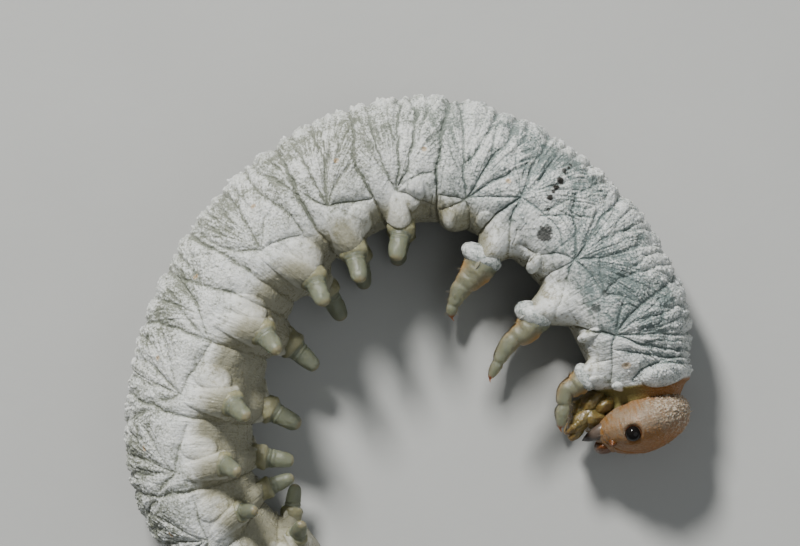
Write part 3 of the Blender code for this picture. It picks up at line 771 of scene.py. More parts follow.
def make_skin(material):
    """Build the one folded skin of the whole body, with its rows closer together at the tail."""
    rows, columns = SKIN_GRID
    share = np.linspace(0.0, 1.0, rows)
    ease = 1.0 - (1.0 - up_from(share, TAIL_SHARE, 0.06)) ** 1.6
    span = TAIL - 0.02 - SKIN_FRONT
    last = SKIN_FRONT + TAIL_SHARE * span
    line = np.where(share < TAIL_SHARE, SKIN_FRONT + share * span, last + ease * (TAIL - 0.001 - last))
    s = np.broadcast_to(line[:, None], (rows, columns)).copy()
    angle = np.linspace(-math.pi, math.pi, columns, endpoint=False)[None, :] + 0.0 * s
    down = np.abs(np.degrees(angle))
    relief, fields = skin_relief(s, angle, down)
    dark = marks(s, np.degrees(angle))
    hole = spiracles(s, down)
    neck = down_to(s, 0.02, 0.40)
    radius = base_radius(np.clip(s, 0.0, TAIL), angle) + relief - 0.30 * neck ** 0.6
    radius = radius - 0.022 * up_from(hole, 0.5, 0.4) + 0.02 * np.clip(dark - 0.6, 0.0, 1.0)
    points = place_points(s, angle, radius)
    points[..., 2] = np.maximum(points[..., 2], LOWEST)
    fields.update(down=down / 180.0, along=s / TAIL, dark=dark, hole=hole)
    return closed_mesh("skin", points, material, fields)


# Materials


class Shader:
    """Small helper that adds nodes to one material."""

    def __init__(self, name):
        self.material = bpy.data.materials.new(name)
        self.material.use_nodes = True
        self.tree = self.material.node_tree
        self.bsdf = self.tree.nodes["Principled BSDF"]
        self.coords = self.node("ShaderNodeTexCoord", {}).outputs["Object"]

    def give(self, socket, value):
        """Link a socket, or set it to a number or a colour."""
        if isinstance(value, bpy.types.NodeSocket):
            self.tree.links.new(value, socket)
        elif socket.type == "RGBA":
            socket.default_value = (*value, 1.0)
        else:
            socket.default_value = value

    def node(self, kind, inputs, **settings):
        """Add a node with its settings and its inputs."""
        node = self.tree.nodes.new(kind)
        for key, value in settings.items():
            setattr(node, key, value)
        for key, value in inputs.items():
            self.give(node.inputs[key], value)
        return node

    def set(self, **values):
        """Set inputs of the surface; their names are written with underscores."""
        for key, value in values.items():
            self.give(self.bsdf.inputs[key.replace("_", " ")], value)

    def fields(self, *names):
        """Fields that the mesh carries."""
        return [self.node("ShaderNodeAttribute", {}, attribute_name=name).outputs["Fac"] for name in names]

    def noise(self, scale, detail=4.0, rough=0.55):
        """Noise with features about scale millimetres across."""
        inputs = {"Vector": self.coords, "Scale": 1.0 / (scale * MM), "Detail": detail, "Roughness": rough}
        return self.node("ShaderNodeTexNoise", inputs).outputs["Fac"]

    def cells(self, scale, feature="F1"):
        """Distance from the middles of cells about scale millimetres across."""
        inputs = {"Vector": self.coords, "Scale": 1.0 / (scale * MM)}
        return self.node("ShaderNodeTexVoronoi", inputs, feature=feature).outputs["Distance"]

    def math(self, operation, *values):
        """Result of one operation."""
        return self.node("ShaderNodeMath", dict(enumerate(values)), operation=operation).outputs[0]

    def times(self, first, *others):
        """Product of all values."""
        for value in others:
            first = self.math("MULTIPLY", first, value)
        return first

    def total(self, start, *terms):
        """Sum of a start and of terms, each a value and its share."""
        for value, share in terms:
            start = self.math("MULTIPLY_ADD", value, share, start)
        return start

    def swing(self, value):
        """Noise about 0 instead of about one half."""
        return self.math("SUBTRACT", value, 0.5)

    def ramp(self, value, low, high):
        """Go smoothly from 0 at low to 1 at high."""
        inputs = {"Value": value, "From Min": low, "From Max": high}
        return self.node("ShaderNodeMapRange", inputs, interpolation_type="SMOOTHSTEP").outputs["Result"]

    def fade(self, value, low, high):
        """Go smoothly from 1 at low to 0 at high."""
        return self.math("SUBTRACT", 1.0, self.ramp(value, low, high))

    def mix(self, amount, first, second):
        """Mix two colours, each given as numbers or as a socket."""
        node = self.node("ShaderNodeMix", {}, data_type="RGBA")
        self.give(node.inputs["Factor"], amount)
        for key, value in (("A", first), ("B", second)):
            self.give([s for s in node.inputs if s.name == key and s.type == "RGBA"][0], value)
        return [s for s in node.outputs if s.type == "RGBA"][0]

    def layers(self, colour, *coats):
        """Lay coats over a colour, each given as its amount and colour."""
        for amount, coat in coats:
            colour = self.mix(amount, colour, coat)
        return colour

    def bump(self, height, distance, strength, under=None):
        """Uneven surface, up to distance millimetres high, over another one."""
        inputs = {"Distance": distance * MM, "Strength": strength, "Height": height}
        if under:
            inputs["Normal"] = under
        return self.node("ShaderNodeBump", inputs).outputs["Normal"]


BARE_FRONT = (0.135, 0.170, 0.163)
BARE_HIND = (0.165, 0.175, 0.138)
BARE_BELLY = (0.215, 0.200, 0.135)
WAX_COLOURS = ((0.540, 0.562, 0.545), (0.605, 0.612, 0.588))
CREASE_SHADE_COLOUR = (0.115, 0.130, 0.110)
CREAM_COLOUR = (0.400, 0.380, 0.285)
CLEAR_AND_SHADE_COLOURS = ((0.120, 0.112, 0.060), (0.245, 0.235, 0.160))
NECK_SHADED_COLOURS = ((0.205, 0.088, 0.018), (0.150, 0.130, 0.042))
HOLE_RIM_COLOUR = (0.40, 0.26, 0.12)
HOLE_COLOUR = (0.27, 0.19, 0.09)
INK_COLOURS = ((0.002, 0.002, 0.002), (0.026, 0.024, 0.018))


def skin_material():
    """White wax bloom, thin in the creases and streaky on the fans, over a grey-green skin; painted shade
    darkens the creases and the lower side, and the streaks carry painted highlight.
    """
    m = Shader("wax_skin")
    crease_shade, deep, grain, thin, streak, lobe, clear = m.fields(
        "crease_shade", "deep", "grain", "thin", "streak", "lobe", "clear")
    down, along, dark, hole = m.fields("down", "along", "dark", "hole")
    broad = m.noise(1.3, 3.0)
    patch = m.noise(0.34, 5.0, 0.65)
    speck = m.noise(0.060, 3.0, 0.75)
    dust = m.noise(0.026, 2.0, 0.7)

    # how thick the wax lies: 0 is bare skin and 1 is solid white
    upper = m.fade(down, 0.45, 0.70)
    flank = m.times(m.fade(along, 0.13, 0.26), m.ramp(down, 0.30, 0.46), m.fade(down, 0.62, 0.72),
                    m.ramp(along, 0.045, 0.075))
    fleck = m.times(m.swing(speck), m.total(0.9, (upper, 1.5)))
    mottle = m.times(m.swing(m.noise(0.15, 4.0, 0.6)), m.ramp(down, 0.5, 0.7))
    # painted shade: the crease shade mask and the depth of the grooves thin the wax, so the creases come
    # out darker
    wax = m.total(0.70, (m.swing(broad), 0.9), (m.swing(patch), 1.15), (flank, -0.34), (thin, -0.62),
                  # white streaks in the thin band: wax, and painted highlight on the wrinkles
                  (m.times(streak, thin), 0.80), (crease_shade, -0.75), (deep, -0.25), (fleck, 1.0),
                  (m.swing(dust), 0.7), (lobe, 0.12), (mottle, 2.0), (grain, 0.45))
    wax = m.ramp(wax, 0.10, 0.95)

    bare = m.mix(m.ramp(along, 0.25, 0.45), BARE_FRONT, BARE_HIND)
    bare = m.mix(m.ramp(down, 0.62, 0.80), bare, BARE_BELLY)
    cream = m.times(m.ramp(down, 0.62, 0.78), m.ramp(along, 0.22, 0.34))
    # the underside and the flaps' lower ends are clear skin, coloured darker olive, partly as painted shade
    lower = m.total(down, (m.fade(along, 0.22, 0.30), -0.10))
    under = m.times(m.ramp(lower, 0.665, 0.745), m.ramp(along, 0.02, 0.05), m.fade(lobe, 0.15, 0.6))
    under = m.math("MAXIMUM", under, clear)
    # the neck: its own orange and olive, darkened as painted shade
    neck = m.times(m.fade(along, 0.0015, 0.0055), m.fade(lobe, 0.1, 0.5))
    rim = m.math("SUBTRACT", m.ramp(hole, 0.05, 0.4), m.ramp(hole, 0.6, 0.9))
    # the crease shade colour laid over the creases is painted shade
    colour = m.layers(
        bare, (wax, m.mix(broad, *WAX_COLOURS)), (m.times(crease_shade, 0.38), CREASE_SHADE_COLOUR),
        (m.times(cream, 0.50), CREAM_COLOUR), (m.times(under, 0.82), m.mix(patch, *CLEAR_AND_SHADE_COLOURS)),
        (neck, m.mix(m.ramp(down, 0.40, 0.62), *NECK_SHADED_COLOURS)), (m.times(rim, 0.60), HOLE_RIM_COLOUR),
        (m.times(m.ramp(hole, 0.6, 0.95), 0.85), HOLE_COLOUR), (dark, m.mix(speck, *INK_COLOURS)))

    rough = m.total(0.19, (wax, 0.40), (m.ramp(speck, 0.56, 0.68), -0.14), (under, -0.12))
    rugged = m.total(0.25, (upper, 0.45))
    folds = m.bump(m.noise(0.11, 5.0, 0.7), 0.040, rugged)
    pebbles = m.bump(m.cells(0.058, "SMOOTH_F1"), 0.036, rugged, folds)
    powder = m.bump(dust, 0.012, 0.8, pebbles)
    m.set(Base_Color=colour, Roughness=rough, Normal=powder, IOR=1.42)
    m.set(Subsurface_Weight=m.total(0.28, (dark, -0.28)), Subsurface_Radius=(1.0, 0.95, 0.70),
          Subsurface_Scale=0.14 * MM)
    return m.material


SMOKE_COLOURS = ((0.215, 0.235, 0.155), (0.360, 0.380, 0.285))
SKIRT_COLOURS = ((0.175, 0.168, 0.090), (0.310, 0.300, 0.195))
AMBER_COLOUR = (0.42, 0.210, 0.050)
CLAW_COLOUR = (0.32, 0.085, 0.025)


def glassy_material():
    """Clear skin of legs and prolegs: smoky inside, orange where it is thin and hard."""
    m = Shader("glassy_skin")
    edge, tip, skirt = m.fields("edge", "tip", "skirt")
    colour = m.layers(
        m.mix(m.noise(0.30, 4.0), *SMOKE_COLOURS), (skirt, m.mix(m.noise(0.16, 4.0, 0.65), *SKIRT_COLOURS)),
        (m.times(edge, 0.85), AMBER_COLOUR), (m.ramp(tip, 0.45, 1.0), CLAW_COLOUR))
    clear = m.total(0.60, (m.math("MAXIMUM", skirt, edge), -0.42))
    wrinkles = m.bump(m.noise(0.085, 4.0, 0.6), 0.022, 0.7)
    m.set(Base_Color=colour, Roughness=0.40, Normal=wrinkles, IOR=1.36, Transmission_Weight=clear)
    m.set(Subsurface_Weight=0.60, Subsurface_Radius=(1.0, 0.85, 0.50), Subsurface_Scale=0.30 * MM)
    return m.material


SHELL_COLOURS = ((0.150, 0.062, 0.008), (0.215, 0.100, 0.018))
FACE_COLOUR = (0.240, 0.092, 0.010)
# The bloom's colour is darker than pale wax: painted shade over the head.
SHADED_BLOOM_COLOUR = (0.196, 0.156, 0.112)
CROWN_GRAIN_COLOUR = (0.400, 0.350, 0.280)
BAND_COLOUR = (0.190, 0.075, 0.010)
SOCKET_COLOUR = (0.085, 0.026, 0.004)


def head_material():
    """Satin orange-brown shell under a pale bloom that thickens to white grains at the crown."""
    m = Shader("head_shell")
    bloom, front, band, lines, grain, ring = m.fields("bloom", "front", "band", "lines", "grain", "socket")
    speck = m.noise(0.050, 4.0, 0.7)
    dust = m.total(bloom, (m.math("SUBTRACT", lines, 0.55), 0.50), (m.swing(speck), 1.1))
    dust = m.ramp(dust, 0.02, 1.00)
    colour = m.layers(
        m.mix(m.noise(0.45, 4.0), *SHELL_COLOURS), (m.times(front, 0.8), FACE_COLOUR),
        (m.times(dust, 0.85), SHADED_BLOOM_COLOUR), (m.times(grain, 0.65), CROWN_GRAIN_COLOUR),
        (m.times(band, 0.75), BAND_COLOUR), (m.ramp(ring, 0.3, 0.8), SOCKET_COLOUR))
    pores = m.bump(m.cells(0.060), 0.016, 0.6)
    fine = m.bump(m.noise(0.030, 3.0, 0.6), 0.010, 0.7, pores)
    m.set(Base_Color=colour, Roughness=m.total(0.34, (dust, 0.22)), Normal=fine, IOR=1.45)
    m.set(Subsurface_Weight=0.30, Subsurface_Radius=(1.0, 0.5, 0.25), Subsurface_Scale=0.18 * MM)
    return m.material


EYE_COLOURS = ((0.002, 0.002, 0.002), (0.010, 0.008, 0.007))


def eye_material():
    """Glossy black lens of the simple eye."""
    m = Shader("eye_lens")
    m.set(Base_Color=m.mix(m.noise(0.12, 2.0), *EYE_COLOURS), Roughness=0.05, IOR=1.42)
    m.set(Specular_IOR_Level=0.22)
    return m.material


JAW_ROOT_COLOURS = ((0.050, 0.036, 0.028), (0.105, 0.080, 0.062))
JAW_TIP_COLOUR = (0.006, 0.003, 0.002)


def jaw_material():
    """Horny jaw, grey-brown at its root and black at its tip."""
    m = Shader("jaw_horn")
    tip = m.fields("tip")[0]
    colour = m.mix(m.ramp(tip, 0.42, 0.66), m.mix(m.noise(0.1, 3.0), *JAW_ROOT_COLOURS), JAW_TIP_COLOUR)
    lines = m.bump(m.noise(0.05, 3.0), 0.008, 0.5)
    m.set(Base_Color=colour, Roughness=0.30, Normal=lines, IOR=1.42, Coat_Weight=0.1, Coat_Roughness=0.2)
    return m.material


LIP_COLOURS = ((0.110, 0.075, 0.020), (0.215, 0.165, 0.060))
LIP_TIP_COLOUR = (0.24, 0.150, 0.048)


def mouth_material():
    """Moist brown skin of the lip and palps."""
    m = Shader("mouth_skin")
    tip = m.fields("tip")[0]
    colour = m.mix(m.ramp(tip, 0.5, 1.0), m.mix(m.noise(0.22, 4.0), *LIP_COLOURS), LIP_TIP_COLOUR)
    wrinkles = m.bump(m.noise(0.085, 4.0, 0.6), 0.030, 0.8)
    m.set(Base_Color=colour, Roughness=0.27, Normal=wrinkles, IOR=1.40)
    m.set(Subsurface_Weight=0.5, Subsurface_Radius=(1.0, 0.6, 0.25), Subsurface_Scale=0.30 * MM)
    m.set(Transmission_Weight=0.15, Coat_Weight=0.15, Coat_Roughness=0.12)
    return m.material


FLOOR_COLOURS = ((0.33, 0.335, 0.325), (0.36, 0.365, 0.355))


def floor_material():
    """Pale matt table top."""
    m = Shader("floor_paper")
    fibres = m.bump(m.noise(0.35, 5.0, 0.6), 0.02, 0.25)
    m.set(Base_Color=m.mix(m.noise(4.0, 3.0), *FLOOR_COLOURS), Roughness=0.85, Normal=fibres)
    return m.material


# Limbs


def directions(path):
    """Unit direction at each point of a path."""
    tangents = np.gradient(path, axis=0)
    return tangents / np.linalg.norm(tangents, axis=1)[:, None]


def resampled(points, rows):
    """Smooth path through points, how far along it each row is, and how far each point is."""
    points = np.array(points)
    lengths = np.concatenate(([0.0], np.cumsum(np.linalg.norm(np.diff(points, axis=0), axis=1))))
    t = np.linspace(0.0, lengths[-1], rows)
    return np.stack([through(lengths, points[:, i], t) for i in range(3)], axis=-1), t, lengths


def uneven(along, angle, offset, coarse, fine):
    """Share by which a limb is thicker or thinner at each point, from two (scale, seed, amount)."""
    local = stacked(along[:, None], offset + 0.3 * np.cos(angle), 0.3 * np.sin(angle))
    return swing(local, *coarse) + swing(local, *fine)


def limb(name, path, halves, material, fields, columns, squash=1.0):
    """Closed limb along a path, with its half thickness per ring or point, flattened by squash."""
    along = directions(path)
    side = np.cross(along, UP)
    side /= np.linalg.norm(side, axis=1)[:, None] + 1e-9
    up = np.cross(side, along) * squash
    angle = ring_angles(columns)[None, :, None]
    if halves.ndim == 1:
        halves = halves[:, None]
    ring = side[:, None, :] * np.cos(angle) + up[:, None, :] * np.sin(angle)
    return closed_mesh(name, path[:, None, :] + ring * halves[:, :, None], material, fields)


def join(objects, name):
    """Join several meshes into one piece."""
    for other in bpy.context.selected_objects:
        other.select_set(False)
    for obj in objects:
        obj.select_set(True)
    bpy.context.view_layer.objects.active = objects[0]
    bpy.ops.object.join()
    result = bpy.context.view_layer.objects.active
    result.name = name
    result.data.name = name
    result.select_set(False)
    return result


def name_seed(name):
    """Seed of the random draws of a named piece."""
    return sum(ord(c) for c in name)


SIDES = (("right", 1.0), ("left", -1.0))
# Thoracic legs: segment, half distance between the pair, and the route in plan from the neck with the
# half thickness at each point; then the white pad over each root: its middle in plan, half sizes, turn
LEGS = (
    ("T1", 0.86,
     ((-1.68, 0.23, 0.34), (-1.95, 0.01, 0.29), (-2.17, -0.12, 0.235), (-2.23, -0.32, 0.20),
      (-2.23, -0.51, 0.175), (-2.28, -0.73, 0.19), (-2.31, -0.95, 0.135), (-2.34, -1.17, 0.04)),
     ((-1.66, 0.27), (0.42, 0.25, 0.36), -62.0)),
    ("T2", 1.00,
     ((-3.11, 1.77, 0.42), (-3.33, 1.50, 0.34), (-3.60, 1.33, 0.26), (-3.80, 1.11, 0.235),
      (-3.93, 0.89, 0.20), (-4.04, 0.67, 0.16), (-4.15, 0.45, 0.135), (-4.28, 0.21, 0.045)),
     ((-3.08, 1.99), (0.54, 0.34, 0.44), -24.0)),
    ("T3", 1.00,
     ((-4.54, 3.34, 0.48), (-4.785, 3.01, 0.37), (-5.005, 2.76, 0.29), (-5.115, 2.60, 0.26),
      (-5.20, 2.41, 0.20), (-5.28, 2.24, 0.17), (-5.32, 2.08, 0.15), (-5.32, 1.88, 0.05)),
     ((-4.51, 3.57), (0.60, 0.31, 0.44), -28.0)),
)
# The points of a leg's route where two of its parts meet
LEG_JOINTS = {"T1": (5, 2), "T2": (6, 3), "T3": (6, 3)}
LEG_ROOT_DEPTH = 0.7
LEG_SPREAD = (1.02, 1.04, 1.06, 1.05, 1.02, 0.99, 0.96, 0.94)
LEG_ROWS = 110
LEG_COLUMNS = 40
LEG_HAIRS = 34
# Depth and width of the notch at a joint, rise and width of the swelling before it, and how far before
NOTCH = (0.020, 0.045)
KNUCKLE = (0.010, 0.08)
KNUCKLE_AHEAD = 0.13
CLAW_LENGTH = 0.15
CLAW_BEND = 0.07
CLAW_HALF = 0.032
CLAW_LOOK = {"edge": 1.0, "tip": 1.0, "skirt": 0.0}
LEG_HAIR_LOOK = {"edge": 0.5, "tip": 0.0, "skirt": 0.0}
PAD_LOOK = {"crease_shade": 0.0, "deep": 0.0, "grain": 0.05, "thin": 0.50, "streak": 0.3, "down": 0.64,
            "along": 0.30, "dark": 0.0, "hole": 0.0, "lobe": 0.25, "clear": 0.0}


def make_leg(name, side, segment, wide, plan, material):
    """One leg: joints a little swollen, constrictions between them, a small claw and short hairs."""
    middle = axis_point(root_place(segment))
    points = []
    for (x, y, _), spread in zip(plan, LEG_SPREAD):
        points.append((NECK[0] + x, NECK[1] + y, middle.z + side * wide * spread))
    first = Vector(points[0])
    inward = (Vector((middle.x, middle.y, first.z)) - first).normalized()
    points.insert(0, tuple(first + inward * LEG_ROOT_DEPTH))
    path, t, length = resampled(points, LEG_ROWS)
    half = through(length, [0.55 * plan[0][2]] + [p[2] for p in plan], t)
    for joint in LEG_JOINTS[segment]:
        past = t - length[joint]
        half = half - NOTCH[0] * bell(past, NOTCH[1]) + KNUCKLE[0] * bell(past + KNUCKLE_AHEAD, KNUCKLE[1])
    close = down_to(t, length[-1], 0.08)
    half = np.maximum(half * np.sqrt(1.0 - (1.0 - close) ** 2 * 0.98), 0.008)
    angle = ring_angles(LEG_COLUMNS)
    skin = half[:, None] * (1.0 + uneven(t, angle, 3.0 * side, (0.16, 51, 0.14), (0.06, 52, 0.06)))
    out_of_skin = up_from(t, length[1] - 0.05, 0.3)[:, None]
    outline = np.abs(np.cos(angle)) ** 3
    upper = np.clip(1.3 - (t - length[1])[:, None] / 0.75, 0.0, 1.0)
    look = {
        "edge": np.clip((0.08 + 0.92 * outline) * out_of_skin * (0.25 + 0.75 * upper), 0.0, 1.0),
        "tip": up_from(t, length[-1] - 0.20, 0.16),
        "skirt": 0.25 * upper,
    }
    pieces = [limb(name, path, skin, material, look, LEG_COLUMNS)]
    out = path[-1] - path[-6]
    out /= np.linalg.norm(out)
    u = np.linspace(0.0, 1.0, 12)
    claw = path[-4] + out * CLAW_LENGTH * u[:, None] - np.cross(out, UP) * CLAW_BEND * u[:, None] ** 2
    pieces.append(limb(name + "_claw", claw, CLAW_HALF * (1.0 - u) + 0.003, material, CLAW_LOOK, 10))
    pieces.extend(leg_hairs(name, path, half, t, length, material))
    return join(pieces, name)


def leg_hairs(name, path, half, t, length, material):
    """Short stiff hairs along the leg."""
    rng = np.random.default_rng(name_seed(name))
    hairs = []
    tangents = directions(path)
    u = np.linspace(0.0, 1.0, 4)
    for _ in range(LEG_HAIRS):
        i = int(np.searchsorted(t, rng.uniform(length[1] + 0.05, length[-1] - 0.1)))
        turn = rng.uniform(0.0, 2.0 * math.pi)
        side = np.cross(tangents[i], UP)
        side /= np.linalg.norm(side)
        out = side * math.cos(turn) + np.cross(side, tangents[i]) * math.sin(turn)
        direction = out + tangents[i] * 0.6
        direction /= np.linalg.norm(direction)
        hair = path[i] + out * half[i] * 0.9 + direction * rng.uniform(0.09, 0.16) * u[:, None]
        hairs.append(limb(name + "_hair", hair, 0.007 * (1.0 - u) + 0.0015, material, LEG_HAIR_LOOK, 5))
    return hairs


def plan_axes(degrees):
    """Direction at an angle in plan, the one a quarter turn further, and up."""
    angle = math.radians(degrees)
    return np.array(((math.cos(angle), math.sin(angle), 0.0), (-math.sin(angle), math.cos(angle), 0.0), UP))


def make_leg_pad(name, side, segment, wide, pad, material):
    """White waxy pad that hangs over a leg's root."""
    (x, y), size, turn = pad
    height = axis_point(root_place(segment)).z + side * (wide * LEG_SPREAD[0] + 0.10)
    centre = (NECK[0] + x, NECK[1] + y, height)
    return ball(name, centre, plan_axes(turn), size, material, PAD_LOOK, (110, 90), 0.13, ord(segment[1]))


# Prolegs: how far each ring stands out from the skin, and its half width
PROLEG_ROUTE = np.array((
    (-0.45, 0.33), (-0.10, 0.37), (0.04, 0.400), (0.12, 0.405), (0.19, 0.380), (0.235, 0.335),
    (0.262, 0.295), (0.38, 0.275), (0.55, 0.262), (0.72, 0.245), (0.86, 0.222), (0.96, 0.190),
    (1.02, 0.145), (1.055, 0.085), (1.07, 0.01)))
PROLEG_ROWS = 110
PROLEG_COLUMNS = 56
PROLEG_SQUASH = 0.86


def make_proleg(name, side, segment, material):
    """One proleg: a soft skirt and a clear blunt peg."""
    place = root_place(segment)
    scale = PROLEG_SCALE.get(segment, 1.0)
    angle = side * math.radians(ROOTS[segment][1])
    skin = Vector(place_points(np.array(place), np.array(angle), base_radius(place, angle)))
    out = (skin - axis_point(place)).normalized()
    h = float(heading(place))
    back = Vector((math.cos(h), math.sin(h), 0.0))
    lean = math.radians(PROLEG_LEAN)
    direction = (out * math.cos(lean) + back * math.sin(lean)).normalized()
    rng = np.random.default_rng(name_seed(name))
    reach, width = PROLEG_ROUTE.T * scale
    length = np.concatenate(([0.0], np.cumsum(np.hypot(np.diff(reach), np.diff(width)))))
    t = np.linspace(0.0, length[-1], PROLEG_ROWS)
    far = np.interp(t, length, reach)
    half = np.interp(t, length, width)
    for values in (far, half) * 3:
        values[1:-1] = (values[:-2] + values[1:-1] + values[2:]) / 3.0
    sway = direction.cross(back).normalized() * rng.uniform(-0.06, 0.06)
    u = np.clip(far / (1.1 * scale), 0.0, 1.0)
    path = np.array(skin) + np.array(direction) * far[:, None] + np.array(sway) * (u ** 2)[:, None]
    around = ring_angles(PROLEG_COLUMNS)
    offset = rng.uniform(0.0, 40.0)
    soft = uneven(far, around, offset, (0.22, 61, 0.16), (0.07, 62, 0.05))
    rings = 0.014 * np.sin(far[:, None] * 52.0 + 0.9 * np.sin(2.0 * around + offset))
    rings = rings * np.clip(1.0 - np.abs(far - 0.36 * scale) / 0.16, 0.0, 1.0)[:, None]
    look = {
        "edge": np.clip((far - 0.96 * scale) / 0.2, 0.0, 0.25),
        "tip": 0.0,
        "skirt": down_to(far, 0.27 * scale, 0.05),
    }
    skin_half = half[:, None] * (1.0 + soft) + rings
    return limb(name, path, skin_half, material, look, PROLEG_COLUMNS, PROLEG_SQUASH)


# Head. Its places are given along it from crown to mouth, towards the front, and to the side
HEAD_CENTRE = (-0.19, -0.92)
HEAD_HEADING = 198.8
HEAD_HEIGHT = 1.50
HEAD_HALF_WIDTH = 1.48
HEAD_CROWN = 1.43
HEAD_MOUTH = 1.30
HEAD_FRONT = 0.90
HEAD_BACK = 0.66
HEAD_BULGE = 0.86
HEAD_TAPER = 0.16
HEAD_SHIFT = 0.04
HEAD_GRID = (260, 320)
EYE_PLACE = (0.26, 0.285)
EYE_RADIUS = 0.22
EYE_SINK = 0.10
EYE_GRID = (64, 44)
ANTENNA_PLACE = (0.85, 0.35)
ANTENNA_AIM = (0.25, 0.35, 0.85)
ANTENNA_LENGTH = 0.20
ANTENNA_HALF = 0.120
ANTENNA_SINK = 0.06
HEAD_HAIRS = 150
HEAD_HAIR_LOOK = {"bloom": 0.9, "front": 0.0, "band": 0.0, "socket": 0.0, "lines": 0.5, "grain": 0.3}
BARE_HEAD_LOOK = {"bloom": 0.0, "front": 0.9, "band": 0.90, "socket": 0.68, "lines": 0.3, "grain": 0.0}
HEAD_AXES = plan_axes(HEAD_HEADING)


def head_points(along, front, side):
    """Turn head places into points."""
    centre = np.array((NECK[0] + HEAD_CENTRE[0], NECK[1] + HEAD_CENTRE[1], HEAD_HEIGHT))
    return centre + stacked(along, front, side) @ HEAD_AXES


def head_side(along, front):
    """Half width of the head capsule over a place of its side."""
    cos_t = -along / (HEAD_MOUTH if along > 0.0 else HEAD_CROWN)
    bulge = (1.0 - cos_t ** 2) ** (0.5 * HEAD_BULGE)
    taper = 1.0 - HEAD_TAPER * max(0.0, -cos_t)
    deep = HEAD_FRONT if front > HEAD_SHIFT else HEAD_BACK
    across = (front - HEAD_SHIFT) / (deep * bulge * taper)
    return HEAD_HALF_WIDTH * bulge * taper * math.sqrt(max(0.0, 1.0 - across ** 2))


def make_head(material):
    """Head capsule with its median groove, the lines that frame the face, eye sockets and hairs."""
    rows, columns = HEAD_GRID
    t = np.linspace(0.004, math.pi - 0.004, rows)[:, None]
    c = ring_angles(columns)[None, :]
    reach = np.where(np.cos(t) < 0.0, HEAD_MOUTH, HEAD_CROWN)
    taper = 1.0 - HEAD_TAPER * np.maximum(0.0, -np.cos(t))
    bulge = np.sin(t) ** HEAD_BULGE
    deep = np.where(np.cos(c) > 0.0, HEAD_FRONT, HEAD_BACK)
    along = -np.cos(t) * reach + 0.0 * c
    front = deep * bulge * taper * np.cos(c)
    side = HEAD_HALF_WIDTH * bulge * taper * np.sin(c)
    forward = np.clip(front / HEAD_FRONT, -1.0, 1.0)
    normal = stacked(along / reach, front / deep, side / HEAD_HALF_WIDTH)
    normal = normal / (np.linalg.norm(normal, axis=-1, keepdims=True) + 1e-9)

    # median line of the crown, the two lines that frame the face, and the step over the labrum
    frame_line = 0.30 + 0.42 * up_from(along, 0.1, 0.9)
    groove = 0.045 * bell(side, 0.05) * down_to(along, 0.35, 1.0)
    groove = groove + 0.035 * bell(np.abs(side) - frame_line, 0.04) * up_from(along, 0.05, 0.1)
    groove = groove * np.clip(forward * 2.0, 0.0, 1.0)
    step = 0.030 * bell(along - 0.86 - 0.1 * np.abs(side), 0.04) * np.clip(forward * 3.0, 0.0, 1.0)
    # orange band at the back of the crown, which stands a little proud of the shell
    behind = np.clip(-forward * HEAD_FRONT / HEAD_BACK, 0.0, 1.0)
    band = up_from(behind, 0.60, 0.35) * down_to(along, 0.55, 0.35)
    # eye sockets and the low mound around each
    d = np.hypot(along - EYE_PLACE[0], front + HEAD_SHIFT - EYE_PLACE[1])
    near = np.where(np.abs(side) > 0.5, 1.0, 0.0)
    socket = np.clip(1.0 - np.abs(d - EYE_RADIUS) / 0.045, 0.0, 1.0) * near
    dip = 0.030 * bell(d - 0.23, 0.030) - 0.015 * bell(d - 0.33, 0.08) + 0.16 * down_to(d, 0.22, 0.1)
    lift = 0.012 * band - groove - step - dip * near
    flat = stacked(along, front + HEAD_SHIFT, side) + normal * lift[..., None]

    # fine relief, with wax grains on the crown
    crown = down_to(along, 0.15, 1.3)
    grain = up_from(noise(flat, 0.050, 44), 0.54, 0.16) * up_from(-along - 0.5 * forward, 0.30, 0.55)
    lines = 1.0 - crinkle(flat / (0.075, 0.40, 0.40), 1.0, 45)
    rough = swing(flat, 0.16, 41, 0.018) + swing(flat, 0.06, 42, 0.008)
    rough = rough + 0.030 * crown * crinkle(flat, 0.07, 43) + 0.021 * grain + 0.006 * (lines - 0.5)
    points = head_points(*np.moveaxis(flat + normal * rough[..., None], -1, 0))
    points[..., 2] = np.maximum(points[..., 2], LOWEST)
    bloom = 0.66 + 0.30 * crown - 1.60 * up_from(forward, 0.16, 1.0) - 0.40 * up_from(along, 0.50, 0.6)
    look = {
        "bloom": np.clip(bloom, 0.0, 1.0),
        "front": up_from(forward, 0.35, 0.5),
        "band": band,
        "socket": socket,
        "lines": lines,
        "grain": grain,
    }
    shell = closed_mesh("head_shell", points, material, look)
    return join([shell] + head_hairs(points, along, material), "head_shell")


def head_hairs(points, along, material):
    """Short pale hairs over the crown and the forehead."""
    rng = np.random.default_rng(12)
    centre = points.mean(axis=(0, 1))
    hairs = []
    u = np.linspace(0.0, 1.0, 4)
    while len(hairs) < HEAD_HAIRS:
        i = int(rng.integers(4, points.shape[0] - 4))
        j = int(rng.integers(0, points.shape[1]))
        if rng.random() < 0.15 + 0.6 * along[i, j]:
            continue
        root = points[i, j]
        out = (root - centre) / np.linalg.norm(root - centre)
        lean = rng.normal(0.0, 0.25, 3)
        hair = root - out * 0.02 + (out + lean) * rng.uniform(0.07, 0.15) * u[:, None]
        hair[:, 2] = np.maximum(hair[:, 2], 0.02)
        hairs.append(limb("hair", hair, 0.0055 * (1.0 - u) + 0.0012, material, HEAD_HAIR_LOOK, 5))
    return hairs


